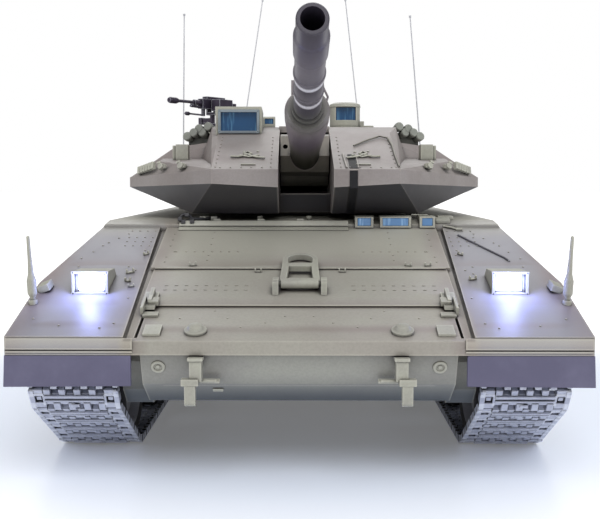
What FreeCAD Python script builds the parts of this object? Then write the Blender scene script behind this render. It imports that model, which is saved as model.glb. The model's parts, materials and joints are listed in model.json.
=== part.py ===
"""A 1:16 radio-controlled main battle tank, modelled as separate jointed pieces.

The front faces -Y, +X is the side with the driver's hatch, +Z is up and the ground is Z = 0.
A "station" is a distance behind the hull's front lip, in millimetres.
"""
import os
from itertools import combinations
from math import asin, atan2, cos, degrees, hypot, pi, sin

import FreeCAD
import Part

# Whole vehicle
LIP_TO_ORIGIN = 207.5
HULL_LENGTH = 475.0
HALF_WIDTH = 117.5
WALL = 2.5
GAP = 0.3

# Hull
TUB_HALF = 64.0
BELLY_Z = 33.0
LIP_LOW_Z = 57.0
LIP_HIGH_Z = 62.7
GLACIS_SLOPE = 0.31
GLACIS_END = 121.0
DECK_Z = 105.5
SPONSON_FLOOR_Z = 73.0
SKIRT_TOP_Z = 78.7
SKIRT_LOW_Z = 41.0
SKIRT_THICK = 2.2
REAR_WALL = 470.0

# Running gear
TRACK_X = 95.0
TRACK_WIDTH = 38.0
LINK_THICK = 4.4
LINK_PITCH_WANTED = 11.6
WHEEL_R = 24.5
WHEEL_Z = LINK_THICK + GAP + WHEEL_R
WHEEL_COUNT = 6
FIRST_WHEEL = 80.0
WHEEL_SPACING = 61.0
SPROCKET = (40.0, 46.5)
IDLER = (437.0, 46.0)
DRUM_R = 19.0
ARM_REACH = 23.0
ARM_PIVOT_Z = 43.0

# Turret
TURRET_CENTRE = 262.0
RING_R = 57.0
TURRET_LOW_Z = 109.0
ROOF_Z = 157.5
SLOT_HALF = 14.0
TURRET_TAIL = 405.0
TURRET_REST = 0.9

# Gun
TRUNNION = (175.0, 136.0)
GUN_REST = 10.0
GUN_REACH = 243.0
BORE_R = 4.05

# Machine gun
MG_PIVOT = (-58.0, 240.0, 175.0)
MG_YAW = 38.0

# Travel lock
LOCK_HINGE = (45.5, 80.7)
LOCK_ARCH_Z = 26.0


def vec(x, station, z):
    return FreeCAD.Vector(x, station - LIP_TO_ORIGIN, z)


def direction(x, y, z):
    return FreeCAD.Vector(x, y, z)


def slope_z(station):
    return LIP_HIGH_Z + GLACIS_SLOPE * station


def outward(solid):
    """The same solid with its faces turned the right way out."""
    if solid.Volume < 0:
        solid.reverse()
    return solid


def box(x0, x1, s0, s1, z0, z1):
    return Part.makeBox(x1 - x0, s1 - s0, z1 - z0, vec(x0, s0, z0))


def prism(corners, along):
    return outward(Part.Face(Part.makePolygon(corners + corners[:1])).extrude(along))


def side_prism(outline, x0, x1):
    """A prism across the vehicle from (station, z) corners."""
    return prism([vec(x0, s, z) for s, z in outline], direction(x1 - x0, 0, 0))


def front_prism(outline, s0, s1):
    """A prism along the vehicle from (x, z) corners."""
    return prism([vec(x, s0, z) for x, z in outline], direction(0, s1 - s0, 0))


def plan_prism(outline, z0, z1):
    """An upright prism from (x, station) corners."""
    return prism([vec(x, s, z0) for x, s in outline], direction(0, 0, z1 - z0))


def rod(x0, x1, station, z, radius):
    """A cylinder across the vehicle."""
    return Part.makeCylinder(radius, x1 - x0, vec(x0, station, z), direction(1, 0, 0))


def post(x, station, z0, z1, radius):
    return Part.makeCylinder(radius, z1 - z0, vec(x, station, z0), direction(0, 0, 1))


def bar(start, end, radius):
    """A round bar between two points."""
    along = end - start
    return Part.makeCylinder(radius, along.Length, start, along)


def turned(profile, base, axis):
    """A lathe-turned solid from a closed loop of (distance along, radius)."""
    ring = [FreeCAD.Vector(radius, 0, along) for along, radius in profile]
    face = Part.Face(Part.makePolygon(ring + ring[:1]))
    solid = outward(face.revolve(FreeCAD.Vector(0, 0, 0), FreeCAD.Vector(0, 0, 1), 360))
    turn = FreeCAD.Rotation(FreeCAD.Vector(0, 0, 1), axis)
    solid.Placement = FreeCAD.Placement(base, turn)
    return solid


def fused(parts):
    return parts[0].fuse(parts[1:]).removeSplitter()


def group(solids):
    return Part.makeCompound(solids)


def mirrored(shape):
    return shape.mirror(FreeCAD.Vector(0, 0, 0), FreeCAD.Vector(1, 0, 0))


def both_sides(solids):
    return solids + [mirrored(s) for s in solids]


def turned_about_x(shape, station, z, angle):
    """The shape tipped about a cross axis; positive lifts what lies in front of the axis."""
    return shape.rotated(vec(0, station, z), FreeCAD.Vector(1, 0, 0), -angle)


def hull_of(points):
    """The convex solid that wraps the given points."""
    faces = {}
    for a, b, c in combinations(range(len(points)), 3):
        normal = (points[b] - points[a]).cross(points[c] - points[a])
        if normal.Length < 1e-6:
            continue
        normal.normalize()
        heights = [(p - points[a]).dot(normal) for p in points]
        if min(heights) < -1e-4 and max(heights) > 1e-4:
            continue
        members = frozenset(i for i, h in enumerate(heights) if abs(h) <= 1e-4)
        faces.setdefault(members, normal)
    return Part.Solid(Part.Shell([flat_face(points, m, n) for m, n in faces.items()]))


def flat_face(points, members, normal):
    """The convex polygon through the given coplanar points."""
    flat = [points[i] for i in members]
    middle = sum(flat[1:], flat[0]) * (1.0 / len(flat))
    first = (flat[0] - middle).normalize()
    second = normal.cross(first)
    flat.sort(key=lambda p: atan2((p - middle).dot(second), (p - middle).dot(first)))
    corners = [p for i, p in enumerate(flat) if turns_at(flat, i)]
    return Part.Face(Part.makePolygon(corners + corners[:1]))


def turns_at(loop, i):
    before, here, after = loop[i - 1], loop[i], loop[(i + 1) % len(loop)]
    return (here - before).cross(after - here).Length > 1e-5


def hull_body(points):
    return outward(hull_of([vec(*p) for p in points]))


def shrunk(points, wall):
    """The same points drawn in so that the outline loses one wall on every side."""
    sizes = [(min(p[k] for p in points), max(p[k] for p in points)) for k in range(3)]
    inner = []
    for p in points:
        spot = []
        for k, (low, high) in enumerate(sizes):
            middle = (low + high) / 2
            scale = (high - low - 2 * wall) / (high - low)
            spot.append(middle + (p[k] - middle) * scale)
        inner.append(tuple(spot))
    return inner


# ---------------------------------------------------------------- hull

def wheel_stations():
    return [FIRST_WHEEL + i * WHEEL_SPACING for i in range(WHEEL_COUNT)]


def lower_hull():
    """The belly tub, open at the top, with axle holes and final-drive housings."""
    outside = [(3.0, 60.2), (3.0, LIP_LOW_Z), (9.0, 43.5), (25.0, BELLY_Z), (452.0, BELLY_Z),
               (REAR_WALL, 50.0), (REAR_WALL, 72.4), (42.0, 72.4)]
    inside = [(6.0, 90.0), (6.0, LIP_LOW_Z), (11.4, 45.2), (26.0, BELLY_Z + WALL),
              (450.6, BELLY_Z + WALL), (REAR_WALL - WALL, 51.2), (REAR_WALL - WALL, 90.0)]
    tub = side_prism(outside, -TUB_HALF, TUB_HALF)
    drive = [(24, 38), (32, 30.5), (46, 30.5), (50, 38), (50, 55), (44, 62), (30, 60), (23.5, 50)]
    drums = [side_prism(drive, TUB_HALF - 1, 75.0)]
    drums.append(rod(TUB_HALF - 1, 73.0, *IDLER, 9.0))
    tub = fused([tub] + both_sides(drums))
    cuts = [side_prism(inside, WALL - TUB_HALF, TUB_HALF - WALL)]
    holes = [rod(50, 80, *SPROCKET, 4.0 + GAP), rod(50, 80, *IDLER, 3.0 + GAP)]
    for station in wheel_stations():
        holes.append(rod(50, 80, station - ARM_REACH, ARM_PIVOT_Z, 3.0 + GAP))
    cuts += both_sides(holes)
    cuts.append(box(-DOOR_HALF, DOOR_HALF, 460, 480, DOOR_LOW_Z + 3, 90))
    cuts.append(box(-COVER_HALF, COVER_HALF, COVER_START, COVER_END, BELLY_Z - 1, BELLY_Z + 3))
    cuts.append(box(*SWITCH_SLOT, BELLY_Z - 1, BELLY_Z + 3))
    return tub.cut(cuts)


DOOR_HALF = 19.0
DOOR_LOW_Z = 52.0
DOOR_HIGH_Z = 95.0
COVER_HALF = 30.0
COVER_START = 150.0
COVER_END = 290.0
SWITCH_SLOT = (26.0, 40.0, 425.0, 431.0)


def upper_hull():
    """The top shell: glacis, fenders, sponsons, deck and turret opening."""
    section = [(-HALF_WIDTH, 50), (-HALF_WIDTH, 80.5), (-101, DECK_Z), (101, DECK_Z),
               (HALF_WIDTH, 80.5), (HALF_WIDTH, 50)]
    outline = [(0, LIP_LOW_Z), (0, LIP_HIGH_Z), (GLACIS_END, slope_z(GLACIS_END)),
               (GLACIS_END, 103.6), (127, DECK_Z), (430, DECK_Z), (HULL_LENGTH - 2, 99),
               (HULL_LENGTH - 2, LIP_LOW_Z)]
    shell = front_prism(section, -1, HULL_LENGTH + 1).common(side_prism(outline, -130, 130))
    room = [(-111, 76), (-98.5, DECK_Z - WALL), (98.5, DECK_Z - WALL), (111, 76)]
    clear = [(12, 50), (12, slope_z(12) - 3), (GLACIS_END + 2, slope_z(GLACIS_END + 2) - 3),
             (GLACIS_END + 2, 101.0), (430, DECK_Z - 3), (HULL_LENGTH - 4.7, 96), (HULL_LENGTH - 4.7, 50)]
    sponson_room = front_prism(room, 0, HULL_LENGTH).common(side_prism(clear, -130, 130))
    centre = side_prism([(2.6, 50), (2.6, slope_z(2.6) - 3)] + clear[1:], -65, 65)
    under = [(2.5, 40), (2.5, slope_z(2.5) - 3), (42.9, SPONSON_FLOOR_Z), (480, SPONSON_FLOOR_Z), (480, 40)]
    skirt = [(12, 40), (12, slope_z(12) - 3), (61.3, SKIRT_TOP_Z + GAP), (480, SKIRT_TOP_Z + GAP), (480, 40)]
    cuts = [sponson_room, centre]
    cuts += both_sides([side_prism(under, 66, 115), side_prism(skirt, 114.9, 130)])
    cuts += both_sides([box(64.9, 66.1, 2.6, 480, 40, SPONSON_FLOOR_Z)])
    cuts.append(post(0, TURRET_CENTRE, 90, 120, RING_R + 0.6))
    cuts.append(post(HATCH[0], HATCH[1], 90, 120, HATCH_R - 3))
    cuts.append(box(-DOOR_HALF, DOOR_HALF, 460, 480, 50, DOOR_HIGH_Z - 3))
    cuts += [groove(sign, 69.0, 69.8, 3.4) for sign in (-1, 1)]
    plates = [glacis_plate(31, 69, 0.9), glacis_plate(69, GLACIS_END - 0.2, 1.7)]
    fender = fender_plate().common(front_prism(section, -1, HULL_LENGTH))
    return fused([shell.cut(cuts)] + plates + both_sides([fender]))


def groove(sign, x0, x1, widening):
    """A panel gap up the glacis that runs slightly outward."""
    near = [(sign * x0, 2), (sign * x1, 2)]
    far = [(sign * (x1 + widening), GLACIS_END), (sign * (x0 + widening), GLACIS_END)]
    upright = plan_prism(near + far, 40, 120)
    layer = [(0, LIP_HIGH_Z - 0.6), (0, 120), (GLACIS_END, 120), (GLACIS_END, slope_z(GLACIS_END) - 0.6)]
    return upright.common(side_prism(layer, -130, 130))


def fender_plate():
    """The raised plate over one track, outside the panel gap."""
    outline = [(0, LIP_HIGH_Z - 1), (0, LIP_HIGH_Z + 1.8), (GLACIS_END + 5, slope_z(GLACIS_END + 5) + 1.8),
               (GLACIS_END + 5, slope_z(GLACIS_END + 5) - 1)]
    plan = [(70.0, 0), (73.6, GLACIS_END + 5), (130, GLACIS_END + 5), (130, 0)]
    return side_prism(outline, 60, 130).common(plan_prism(plan, 40, DECK_Z))


def glacis_plate(s0, s1, thick):
    """An armour plate lying on the glacis between two stations."""
    outline = [(s0, slope_z(s0) - 0.5), (s0, slope_z(s0) + thick), (s1, slope_z(s1) + thick),
               (s1, slope_z(s1) - 0.5)]
    half = 66.5 + 3.4 * s1 / GLACIS_END
    return side_prism(outline, -half, half)


HATCH = (47.0, 148.0)
HATCH_R = 12.5
HATCH_PIN = (61.0, 158.0)


def driver_hatch():
    x, station = HATCH
    lid = turned([(0, 0), (0, HATCH_R), (1.2, HATCH_R), (1.9, HATCH_R - 1.2), (1.9, 0)],
                 vec(x, station, DECK_Z + 0.2), direction(0, 0, 1))
    ear = plan_prism([(x + 6, station + 11), (x + 11, station + 5), (HATCH_PIN[0] + 2.5, HATCH_PIN[1] - 1),
                      (HATCH_PIN[0] - 1, HATCH_PIN[1] + 2.5)], DECK_Z + 0.2, DECK_Z + 1.6)
    pin = post(*HATCH_PIN, DECK_Z + 0.2, DECK_Z + 2.2, 2.6)
    return fused([lid, ear, pin])


def skirt_panels():
    """Armour side skirts, seven hinged-looking panels a side, hung under the fender edge."""
    panels = []
    stations = [12.4, 62, 125, 188, 251, 314, 377, 440]
    x0 = HALF_WIDTH - SKIRT_THICK
    for i, (s0, s1) in enumerate(zip(stations[:-1], stations[1:])):
        s1 -= 0.5
        low = SKIRT_LOW_Z
        top0 = min(SKIRT_TOP_Z, slope_z(s0) - 3.3)
        top1 = min(SKIRT_TOP_Z, slope_z(s1) - 3.3)
        outline = [(s0, low + (5 if i == 0 else 0)), (s0, top0), (s1, top1), (s1, low)]
        panels.append(side_prism(outline, x0, HALF_WIDTH))
    rear = [(440, SKIRT_LOW_Z), (440, SKIRT_TOP_Z), (466, SKIRT_TOP_Z), (466, 58), (456, SKIRT_LOW_Z + 3)]
    panels.append(side_prism(rear, x0, HALF_WIDTH))
    return group(both_sides(panels))


def mud_flaps():
    front = front_prism([(67.2, 44.4), (67.2, LIP_LOW_Z - 0.1), (117.8, LIP_LOW_Z - 0.1), (118.4, 44.0)], 0, 2.2)
    rear = front_prism([(72, 46.0), (72, 72.7), (114.5, 72.7), (114.5, 46.0)], 470.5, 472.7)
    return group(both_sides([front, rear]))


def headlight_housing():
    """A hooded lamp box standing on the fender slope."""
    base = slope_z(41) + 1.9
    outline = [(41, base), (41, 86.6), (56, 86.6), (60, slope_z(60) + 1.9)]
    shell = side_prism(outline, 84.4, 99.6)
    pocket = box(86.0, 98.0, 40, 47, 77.6, 85.4)
    return shell.cut(pocket)


def light_guard():
    """A folded bracket beside the lamp, low on the glacis edge."""
    foot = side_prism([(26, slope_z(26) + 1.0), (26, slope_z(26) + 2.2), (41, slope_z(41) + 2.2),
                       (41, slope_z(41) + 1.0)], 61.5, 67.5)
    fin = side_prism([(29, slope_z(29) + 1.0), (29, slope_z(29) + 4.0), (39, slope_z(39) + 5.0),
                      (41, slope_z(41) + 1.0)], 63.2, 64.8)
    return fused([foot, fin])


PERISCOPES = ((28.0, 37.5), (41.0, 57.0), (61.5, 69.5))


def periscope_housing(x0, x1):
    """A sloped periscope box with a window pocket facing forward."""
    front = GLACIS_END - 1.6
    outline = [(front, 101.95), (front, 107.4), (front + 2.4, 108.0), (GLACIS_END + 8.5, 108.0),
               (GLACIS_END + 8.5, DECK_Z + 0.1), (127, DECK_Z + 0.1), (GLACIS_END - 0.1, 103.67),
               (GLACIS_END - 0.1, 101.95)]
    shell = side_prism(outline, x0, x1)
    return shell.cut(box(x0 + 1.2, x1 - 1.2, front - 1, front + 1.1, 102.8, 107.0))


def lifting_boss(x, station):
    base = vec(x, station, slope_z(station) + 0.1)
    up = direction(0, -GLACIS_SLOPE, 1)
    dome = [(0, 0), (0, 4.6), (1.0, 4.6), (1.4, 3.4), (2.8, 2.6), (3.4, 1.2), (3.5, 0)]
    return turned(dome, base, up)


def lock_block(x):
    s, z = LOCK_HINGE
    base = side_prism([(s - 5, slope_z(s - 5) + 1.0), (s - 5, z + 1.2), (s + 3.2, z + 2.6),
                       (s + 3.2, slope_z(s + 3.2) + 1.0)], x - 1.3, x + 1.3)
    return base.cut(rod(x - 5, x + 5, s, z, 1.5))


def hull_fittings():
    """Small pieces fixed on the hull: lamps, brackets, periscope boxes, bosses, lugs, rear boxes."""
    paired = [headlight_housing(), light_guard(), lifting_boss(42.0, 8.0)]
    paired.append(side_prism([(4, slope_z(4) + 0.1), (4, slope_z(4) + 1.1), (12, slope_z(12) + 1.1),
                              (12, slope_z(12) + 0.1)], 56.0, 63.0))
    paired.append(lock_block(10.7))
    paired.append(box(52, 66, HULL_LENGTH - 1.9, HULL_LENGTH + 1.5, 60, 66))
    paired.append(box(78, 96, HULL_LENGTH - 1.9, HULL_LENGTH + 0.8, 76, 92))
    solids = both_sides(paired)
    solids += [periscope_housing(x0, x1) for x0, x1 in PERISCOPES]
    solids += [post(x, 132, DECK_Z + 0.1, DECK_Z + 2.0, 1.4) for x in (-50.0, -22.0, 4.0)]
    solids.append(box(72.0, 80.0, 128, 136, DECK_Z + 0.1, DECK_Z + 2.2))
    return group(solids)


def headlight_lenses():
    """Lens blocks that fill the lamp boxes' mouths and follow the fender below."""
    front, back, lift = 42.6, 46.6, 2.0
    outline = [(front, slope_z(front) + lift), (front, 85.2), (back, 85.2), (back, slope_z(back) + lift)]
    return group(both_sides([side_prism(outline, 86.2, 97.8)]))


def periscope_glass():
    panes = [box(x0 + 1.4, x1 - 1.4, GLACIS_END - 1.2, GLACIS_END - 0.6, 103.0, 106.8)
             for x0, x1 in PERISCOPES]
    return group(panes)


def tow_hook(x, station, z, forward):
    """A towing bracket: top tab, upright web and a hook that narrows downward."""
    f = -1 if forward else 1

    def block(x0, x1, s0, s1, z0, z1):
        a, b = sorted((station + f * s0, station + f * s1))
        return box(x + x0, x + x1, a, b, z + z0, z + z1)
    tab = block(-3.0, 3.0, 0, 6.4, -1.2, 0)
    web = block(-2.4, 2.4, 0, 5.8, -9.5, -1)
    head = block(-1.2, 5.6, 3.0, 7.0, -11.0, -8.4)
    shank = block(0.0, 4.3, 3.2, 6.8, -17.6, -10.5)
    tip = rod(x, x + 4.3, station + f * 5.0, z - 17.6, 1.8)
    pin = rod(x - 8.0, x + 5.0, station + f * 1.6, z - 10.0, 0.7)
    return fused([tab, web, head, shank, tip, pin])


def tow_hooks():
    hooks = [tow_hook(41.0, 2.6, 56.4, True), tow_hook(43.0, HULL_LENGTH - 1.8, 80.0, False)]
    return group(both_sides(hooks))


def marker_rods():
    foot = vec(114.2, 30, slope_z(30) + 1.2)
    lean = direction(0.057, 0, 1)
    profile = [(0, 0), (0, 1.9), (2.2, 1.9), (2.2, 1.1), (3.2, 1.1), (5.0, 2.0), (10.5, 2.0), (13.5, 1.2),
               (20, 0.85), (29.4, 0.7), (29.9, 0)]
    fender = side_prism([(0, 0), (0, LIP_HIGH_Z + 1.9), (GLACIS_END, slope_z(GLACIS_END) + 1.9), (GLACIS_END, 0)],
                        100, 130)
    return group(both_sides([turned(profile, foot, lean).cut(fender)]))


def arch(radius, z):
    """Corners of a half circle from left to right over the middle, at a height."""
    steps = 24
    return [(-radius * cos(pi * i / steps), z + radius * sin(pi * i / steps)) for i in range(steps + 1)]


def travel_lock():
    """The barrel clamp, folded back on the glacis: two legs, an arched ring and a hinge bar."""
    s, z = LOCK_HINGE
    outer = [(-9.0, z)] + arch(8.1, z + LOCK_ARCH_Z) + [(9.0, z)]
    opening = [(-5.6, z + 21.5)] + arch(5.9, z + LOCK_ARCH_Z) + [(5.6, z + 21.5)]
    between = [(-6.0, z + 3.4), (-5.2, z + 17.5), (5.2, z + 17.5), (6.0, z + 3.4)]
    frame = front_prism(outer, s - 1.4, s + 1.4)
    frame = frame.cut([front_prism(opening, s - 3, s + 3), front_prism(between, s - 3, s + 3)])
    hinge = rod(-11.8, 11.8, s, z, 1.2)
    sleeve = rod(-8.3, 8.3, s, z, 2.2)
    upright = fused([frame, sleeve, hinge])
    folded = 90 - degrees(atan2(GLACIS_SLOPE, 1))
    return turned_about_x(upright, s, z, folded)


def rear_door():
    """The crew door plate with hinge barrels along its lower edge."""
    s0 = HULL_LENGTH - 1.6
    plate = box(-DOOR_HALF - 3, DOOR_HALF + 3, s0, s0 + 3, DOOR_LOW_Z, DOOR_HIGH_Z)
    rib = box(-14, 14, s0 + 2.9, s0 + 4.2, DOOR_LOW_Z + 8, DOOR_LOW_Z + 11)
    handle = [box(-6, -4.5, s0 + 2.9, s0 + 6, 84, 85.5), box(4.5, 6, s0 + 2.9, s0 + 6, 84, 85.5),
              box(-6, 6, s0 + 4.8, s0 + 6, 84, 85.5)]
    barrels = [rod(x - 4, x + 4, s0 + 1.8, DOOR_LOW_Z - 0.5, 1.7) for x in (-14, 14)]
    return fused([plate, rib] + handle + barrels)


def power_switch():
    x0, x1, s0, s1 = SWITCH_SLOT
    stem = box(x0 + 0.4, x0 + 6.4, s0 + 0.4, s1 - 0.4, BELLY_Z - 1.2, BELLY_Z + 4.0)
    head = box(x0 - 2.0, x0 + 9.0, s0 - 1.5, s1 + 1.5, BELLY_Z + 2.8, BELLY_Z + 4.4)
    return fused([stem, head])


def battery():
    return box(-22, 22, 165, 275, BELLY_Z + 4.5, BELLY_Z + 26)


def battery_cover():
    plate = box(-COVER_HALF + GAP, COVER_HALF - GAP, COVER_START + GAP, COVER_END - GAP,
                BELLY_Z, BELLY_Z + 2.2)
    holes = [post(x, s, 20, 50, 1.6) for x in (-24, 24) for s in (156, 284)]
    return plate.cut(holes)


def hull_screws():
    """Pan-head screws that hold the belly cover."""
    head = [(0, 0), (0, 2.4), (0.9, 2.8), (1.4, 2.8), (1.4, 1.3), (7.5, 1.3), (8, 0)]
    return group([turned(head, vec(x, s, BELLY_Z - 1.5), direction(0, 0, 1))
                  for x in (-24, 24) for s in (156, 284)])


def electronics():
    """The control board with its parts, and the loudspeaker."""
    board = box(-35, 35, 305, 385, BELLY_Z + 12, BELLY_Z + 13.6)
    chips = [box(x, x + 14, s, s + 14, BELLY_Z + 13.5, BELLY_Z + 17) for x in (-28, -5, 16)
             for s in (315, 350)]
    cone = [(0, 0), (0, 14), (2, 18), (10, 18), (10, 0)]
    speaker = turned(cone, vec(0, 415, BELLY_Z + WALL + 0.6), direction(0, 0, 1))
    return group([fused([board] + chips), speaker])


def gear_motor():
    """One drive unit: gearbox block with a round motor behind it."""
    case = box(12, 58, 26, 62, BELLY_Z + 4, BELLY_Z + 26)
    can = Part.makeCylinder(11, 46, vec(36, 61.5, BELLY_Z + 15), direction(0, 1, 0))
    return fused([case, can])


def marked_side(solid, side):
    return mirrored(solid) if side == "left" else solid


# ---------------------------------------------------------------- running gear

def suspension_arm(station):
    """A trailing arm: pivot pin into the tub, crank plate, and the wheel's axle."""
    pivot = rod(59, 66, station - ARM_REACH, ARM_PIVOT_Z, 3.0)
    drop = ARM_PIVOT_Z - WHEEL_Z
    length = hypot(ARM_REACH, drop)
    ends = [rod(65, 71, station - ARM_REACH, ARM_PIVOT_Z, 6.0), rod(65, 71, station, WHEEL_Z, 5.0)]
    link = box(65.5, 70.5, station - ARM_REACH, station - ARM_REACH + length, ARM_PIVOT_Z - 4, ARM_PIVOT_Z + 4)
    link = turned_about_x(link, station - ARM_REACH, ARM_PIVOT_Z, degrees(atan2(drop, ARM_REACH)))
    axle = rod(70, 108.6, station, WHEEL_Z, 3.0)
    return fused([pivot, link, axle] + ends)


def wheel_profile(radius, bore):
    """Half-section of a double wheel: (distance along the axle, radius)."""
    rim = radius
    inner = radius - 4.0
    return [(0, bore), (0, 8), (3.5, 9), (4.5, inner - 4), (0.8, inner), (0, rim - 0.6), (0.6, rim), (11.4, rim),
            (12, rim - 0.6), (12, 11.5), (18, 11.5), (18, rim - 0.6), (18.6, rim), (29.4, rim),
            (30, rim - 0.6), (29.2, inner), (25.5, inner - 4), (26.5, 9), (29, 8), (29.8, 6), (29.8, bore)]


def bolt_circle(wheel_x, station, z, radius, count):
    """Nut heads round the hub's outer face."""
    return [rod(wheel_x - 2.5, wheel_x + 1.6, station + radius * cos(2 * pi * i / count),
                z + radius * sin(2 * pi * i / count), 0.9) for i in range(count)]


def road_wheel(station, z, radius, bore):
    wheel_x = TRACK_X - 15.0
    body = turned(wheel_profile(radius, bore), vec(wheel_x, station, z), direction(1, 0, 0))
    return fused([body] + bolt_circle(wheel_x + 26.2, station, z, 10.5, 8))


def sprocket():
    """Two toothed discs on a hub with an axle into the final drive."""
    station, z = SPROCKET
    start = TRACK_X - 15.0
    hub = [(0, 0), (0, 11), (9, 11.5), (21, 11.5), (30, 10), (31, 6), (31, 0)]
    parts = [turned(hub, vec(start, station, z), direction(1, 0, 0)), rod(62, start + 1, station, z, 4.0)]
    for disc_x in (start + 4, start + 22):
        parts.append(tooth_disc(disc_x, disc_x + 4, station, z))
    parts += bolt_circle(start + 29.0, station, z, 7.5, 6)
    return fused(parts)


def tooth_disc(x0, x1, station, z):
    teeth = 12
    outline = []
    for i in range(teeth):
        for part, radius in ((-0.30, 15.6), (-0.14, 18.2), (0.14, 18.2), (0.30, 15.6)):
            angle = 2 * pi * (i + part) / teeth
            outline.append((station + radius * cos(angle), z + radius * sin(angle)))
    return side_prism(outline, x0, x1)


def idler():
    """A plain double wheel whose axle turns in the tub's boss."""
    station, z = IDLER
    return fused([road_wheel(station, z, DRUM_R, 0.0), rod(64, 84, station, z, 3.0)])


def track_circles():
    """The round things that the track's middle line wraps, in running order."""
    half = LINK_THICK / 2
    drum = DRUM_R + GAP + half
    wheel = WHEEL_R + GAP + half
    stations = wheel_stations()
    return [(*SPROCKET, drum), (stations[0], WHEEL_Z, wheel), (stations[-1], WHEEL_Z, wheel), (*IDLER, drum)]


def track_path():
    """Points and headings one link pitch apart around the closed loop."""
    circles = track_circles()
    pieces = []
    tangents = []
    for i, (s0, z0, r0) in enumerate(circles):
        s1, z1, r1 = circles[(i + 1) % len(circles)]
        along = atan2(z1 - z0, s1 - s0)
        lean = asin((r0 - r1) / hypot(s1 - s0, z1 - z0))
        normal = along - pi / 2 + lean
        tangents.append(normal)
    for i, (s0, z0, r0) in enumerate(circles):
        s1, z1, r1 = circles[(i + 1) % len(circles)]
        start, end = tangents[i - 1], tangents[i]
        turn = (end - start) % (2 * pi)
        pieces.append((turn * r0, "arc", (s0, z0, r0, start, turn)))
        a = (s0 + r0 * cos(end), z0 + r0 * sin(end))
        b = (s1 + r1 * cos(end), z1 + r1 * sin(end))
        pieces.append((hypot(b[0] - a[0], b[1] - a[1]), "line", (a, b)))
    total = sum(p[0] for p in pieces)
    count = round(total / LINK_PITCH_WANTED)
    return [spot_on(pieces, total * i / count) for i in range(count)], total / count


def spot_on(pieces, distance):
    """(station, z, heading) at a distance round the loop; the loop runs anticlockwise."""
    for length, kind, data in pieces:
        if distance > length:
            distance -= length
            continue
        if kind == "line":
            (s0, z0), (s1, z1) = data
            part = distance / length
            return s0 + (s1 - s0) * part, z0 + (z1 - z0) * part, atan2(z1 - z0, s1 - s0)
        s, z, r, start, turn = data
        angle = start + distance / r
        return s + r * cos(angle), z + r * sin(angle), angle + pi / 2
    raise ValueError("the distance runs past the loop")


def link_shape(pitch):
    """One track link lying flat with its tread down, its middle at the frame's own zero."""
    half_w = TRACK_WIDTH / 2
    half_t = LINK_THICK / 2
    plate_half = pitch / 2 - 2.5

    def block(x0, x1, y0, y1, z0, z1):
        return Part.makeBox(x1 - x0, y1 - y0, z1 - z0, FreeCAD.Vector(x0, y0, z0))
    parts = [block(-half_w, half_w, -plate_half, plate_half, -half_t + 0.8, half_t)]
    parts.append(block(-half_w + 5.5, half_w - 5.5, -1.5, 1.5, -half_t, half_t - 1))
    parts.append(block(-1.7, 1.7, -plate_half, plate_half, half_t - 0.2, half_t + 4.6))
    teeth = 9
    width = TRACK_WIDTH / teeth
    for i in range(teeth):
        side = 1 if i % 2 else -1
        x0 = -half_w + i * width + 0.15
        parts.append(block(x0, x0 + width - 0.3, min(0, side * pitch / 2), max(0, side * pitch / 2),
                           -half_t + 0.5, half_t - 0.6))
        parts.append(Part.makeCylinder(half_t - 0.35, width - 0.3, FreeCAD.Vector(x0, side * pitch / 2, 0),
                                       FreeCAD.Vector(1, 0, 0)))
    windows = [block(sign * 14.6 - 2.0, sign * 14.6 + 2.0, -1.5, 1.5, -3, 0.6) for sign in (-1, 1)]
    return fused(parts).cut(windows)


def track(side):
    spots, pitch = track_path()
    chord_link = link_shape(pitch)
    middle = TRACK_X if side == "right" else -TRACK_X
    links = []
    for station, z, heading in spots:
        link = chord_link.copy()
        turn = FreeCAD.Rotation(FreeCAD.Vector(1, 0, 0), degrees(heading))
        link.Placement = FreeCAD.Placement(vec(middle, station, z), turn)
        links.append(link)
    return group(links)


# ---------------------------------------------------------------- turret

CHEEK = [(14, 130, 109), (60, 130, 109), (70, 190, 109), (72, 300, 109), (14, 300, 109),
         (14, 100, 123), (47, 100, 124.8), (14, 100, 132), (47, 100, 132),
         (14, 165, 153), (48, 165, 153), (54, 190, 157.5), (54, 330, 157.5), (14, 190, 157.5), (14, 330, 157.5)]
WING = [(20, 130, 109), (60, 130, 109), (70, 190, 109), (72, 300, 109), (20, 300, 109),
        (20, 101, 124), (47, 100, 124.8), (101, 180, 122.6), (97, 330, 123),
        (20, 101, 132), (47, 100, 132), (49, 113, 134.6), (101, 180, 128), (97, 330, 128),
        (81.4, 165, 137), (83, 190, 139.2), (40, 190, 139.5), (80, 330, 139), (20, 330, 139)]
SHOULDER = [(30, 183, 124), (101, 181, 123), (101, 181, 128), (97, 330, 123), (97, 330, 128), (30, 330, 124),
            (77, 198, 146), (75, 330, 146), (50, 192, 149.5), (50, 330, 149.5)]
BUSTLE = [(-72, 300, 113), (72, 300, 113), (-64, TURRET_TAIL, 124), (64, TURRET_TAIL, 124),
          (-96, 325, 124), (96, 325, 124), (-96, 325, 129), (96, 325, 129),
          (-80, TURRET_TAIL, 130), (80, TURRET_TAIL, 130), (-80, TURRET_TAIL, 136), (80, TURRET_TAIL, 136),
          (-54, 300, 157.5), (54, 300, 157.5), (-50, TURRET_TAIL, 156.5), (50, TURRET_TAIL, 156.5)]
SHIELD = [(149.0, 109), (144.5, 119.3), (147.0, 119.3), (151.5, 109)]
COMMANDER = (-28.0, 276.0)
COMMANDER_R = 14.0


def cheek_bodies():
    """The three wedges of the cheek on the driver's side: front block, side wing and shoulder."""
    return [hull_body(CHEEK), hull_body(WING), hull_body(SHOULDER)]


def all_cheek_bodies():
    return both_sides(cheek_bodies())


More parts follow.
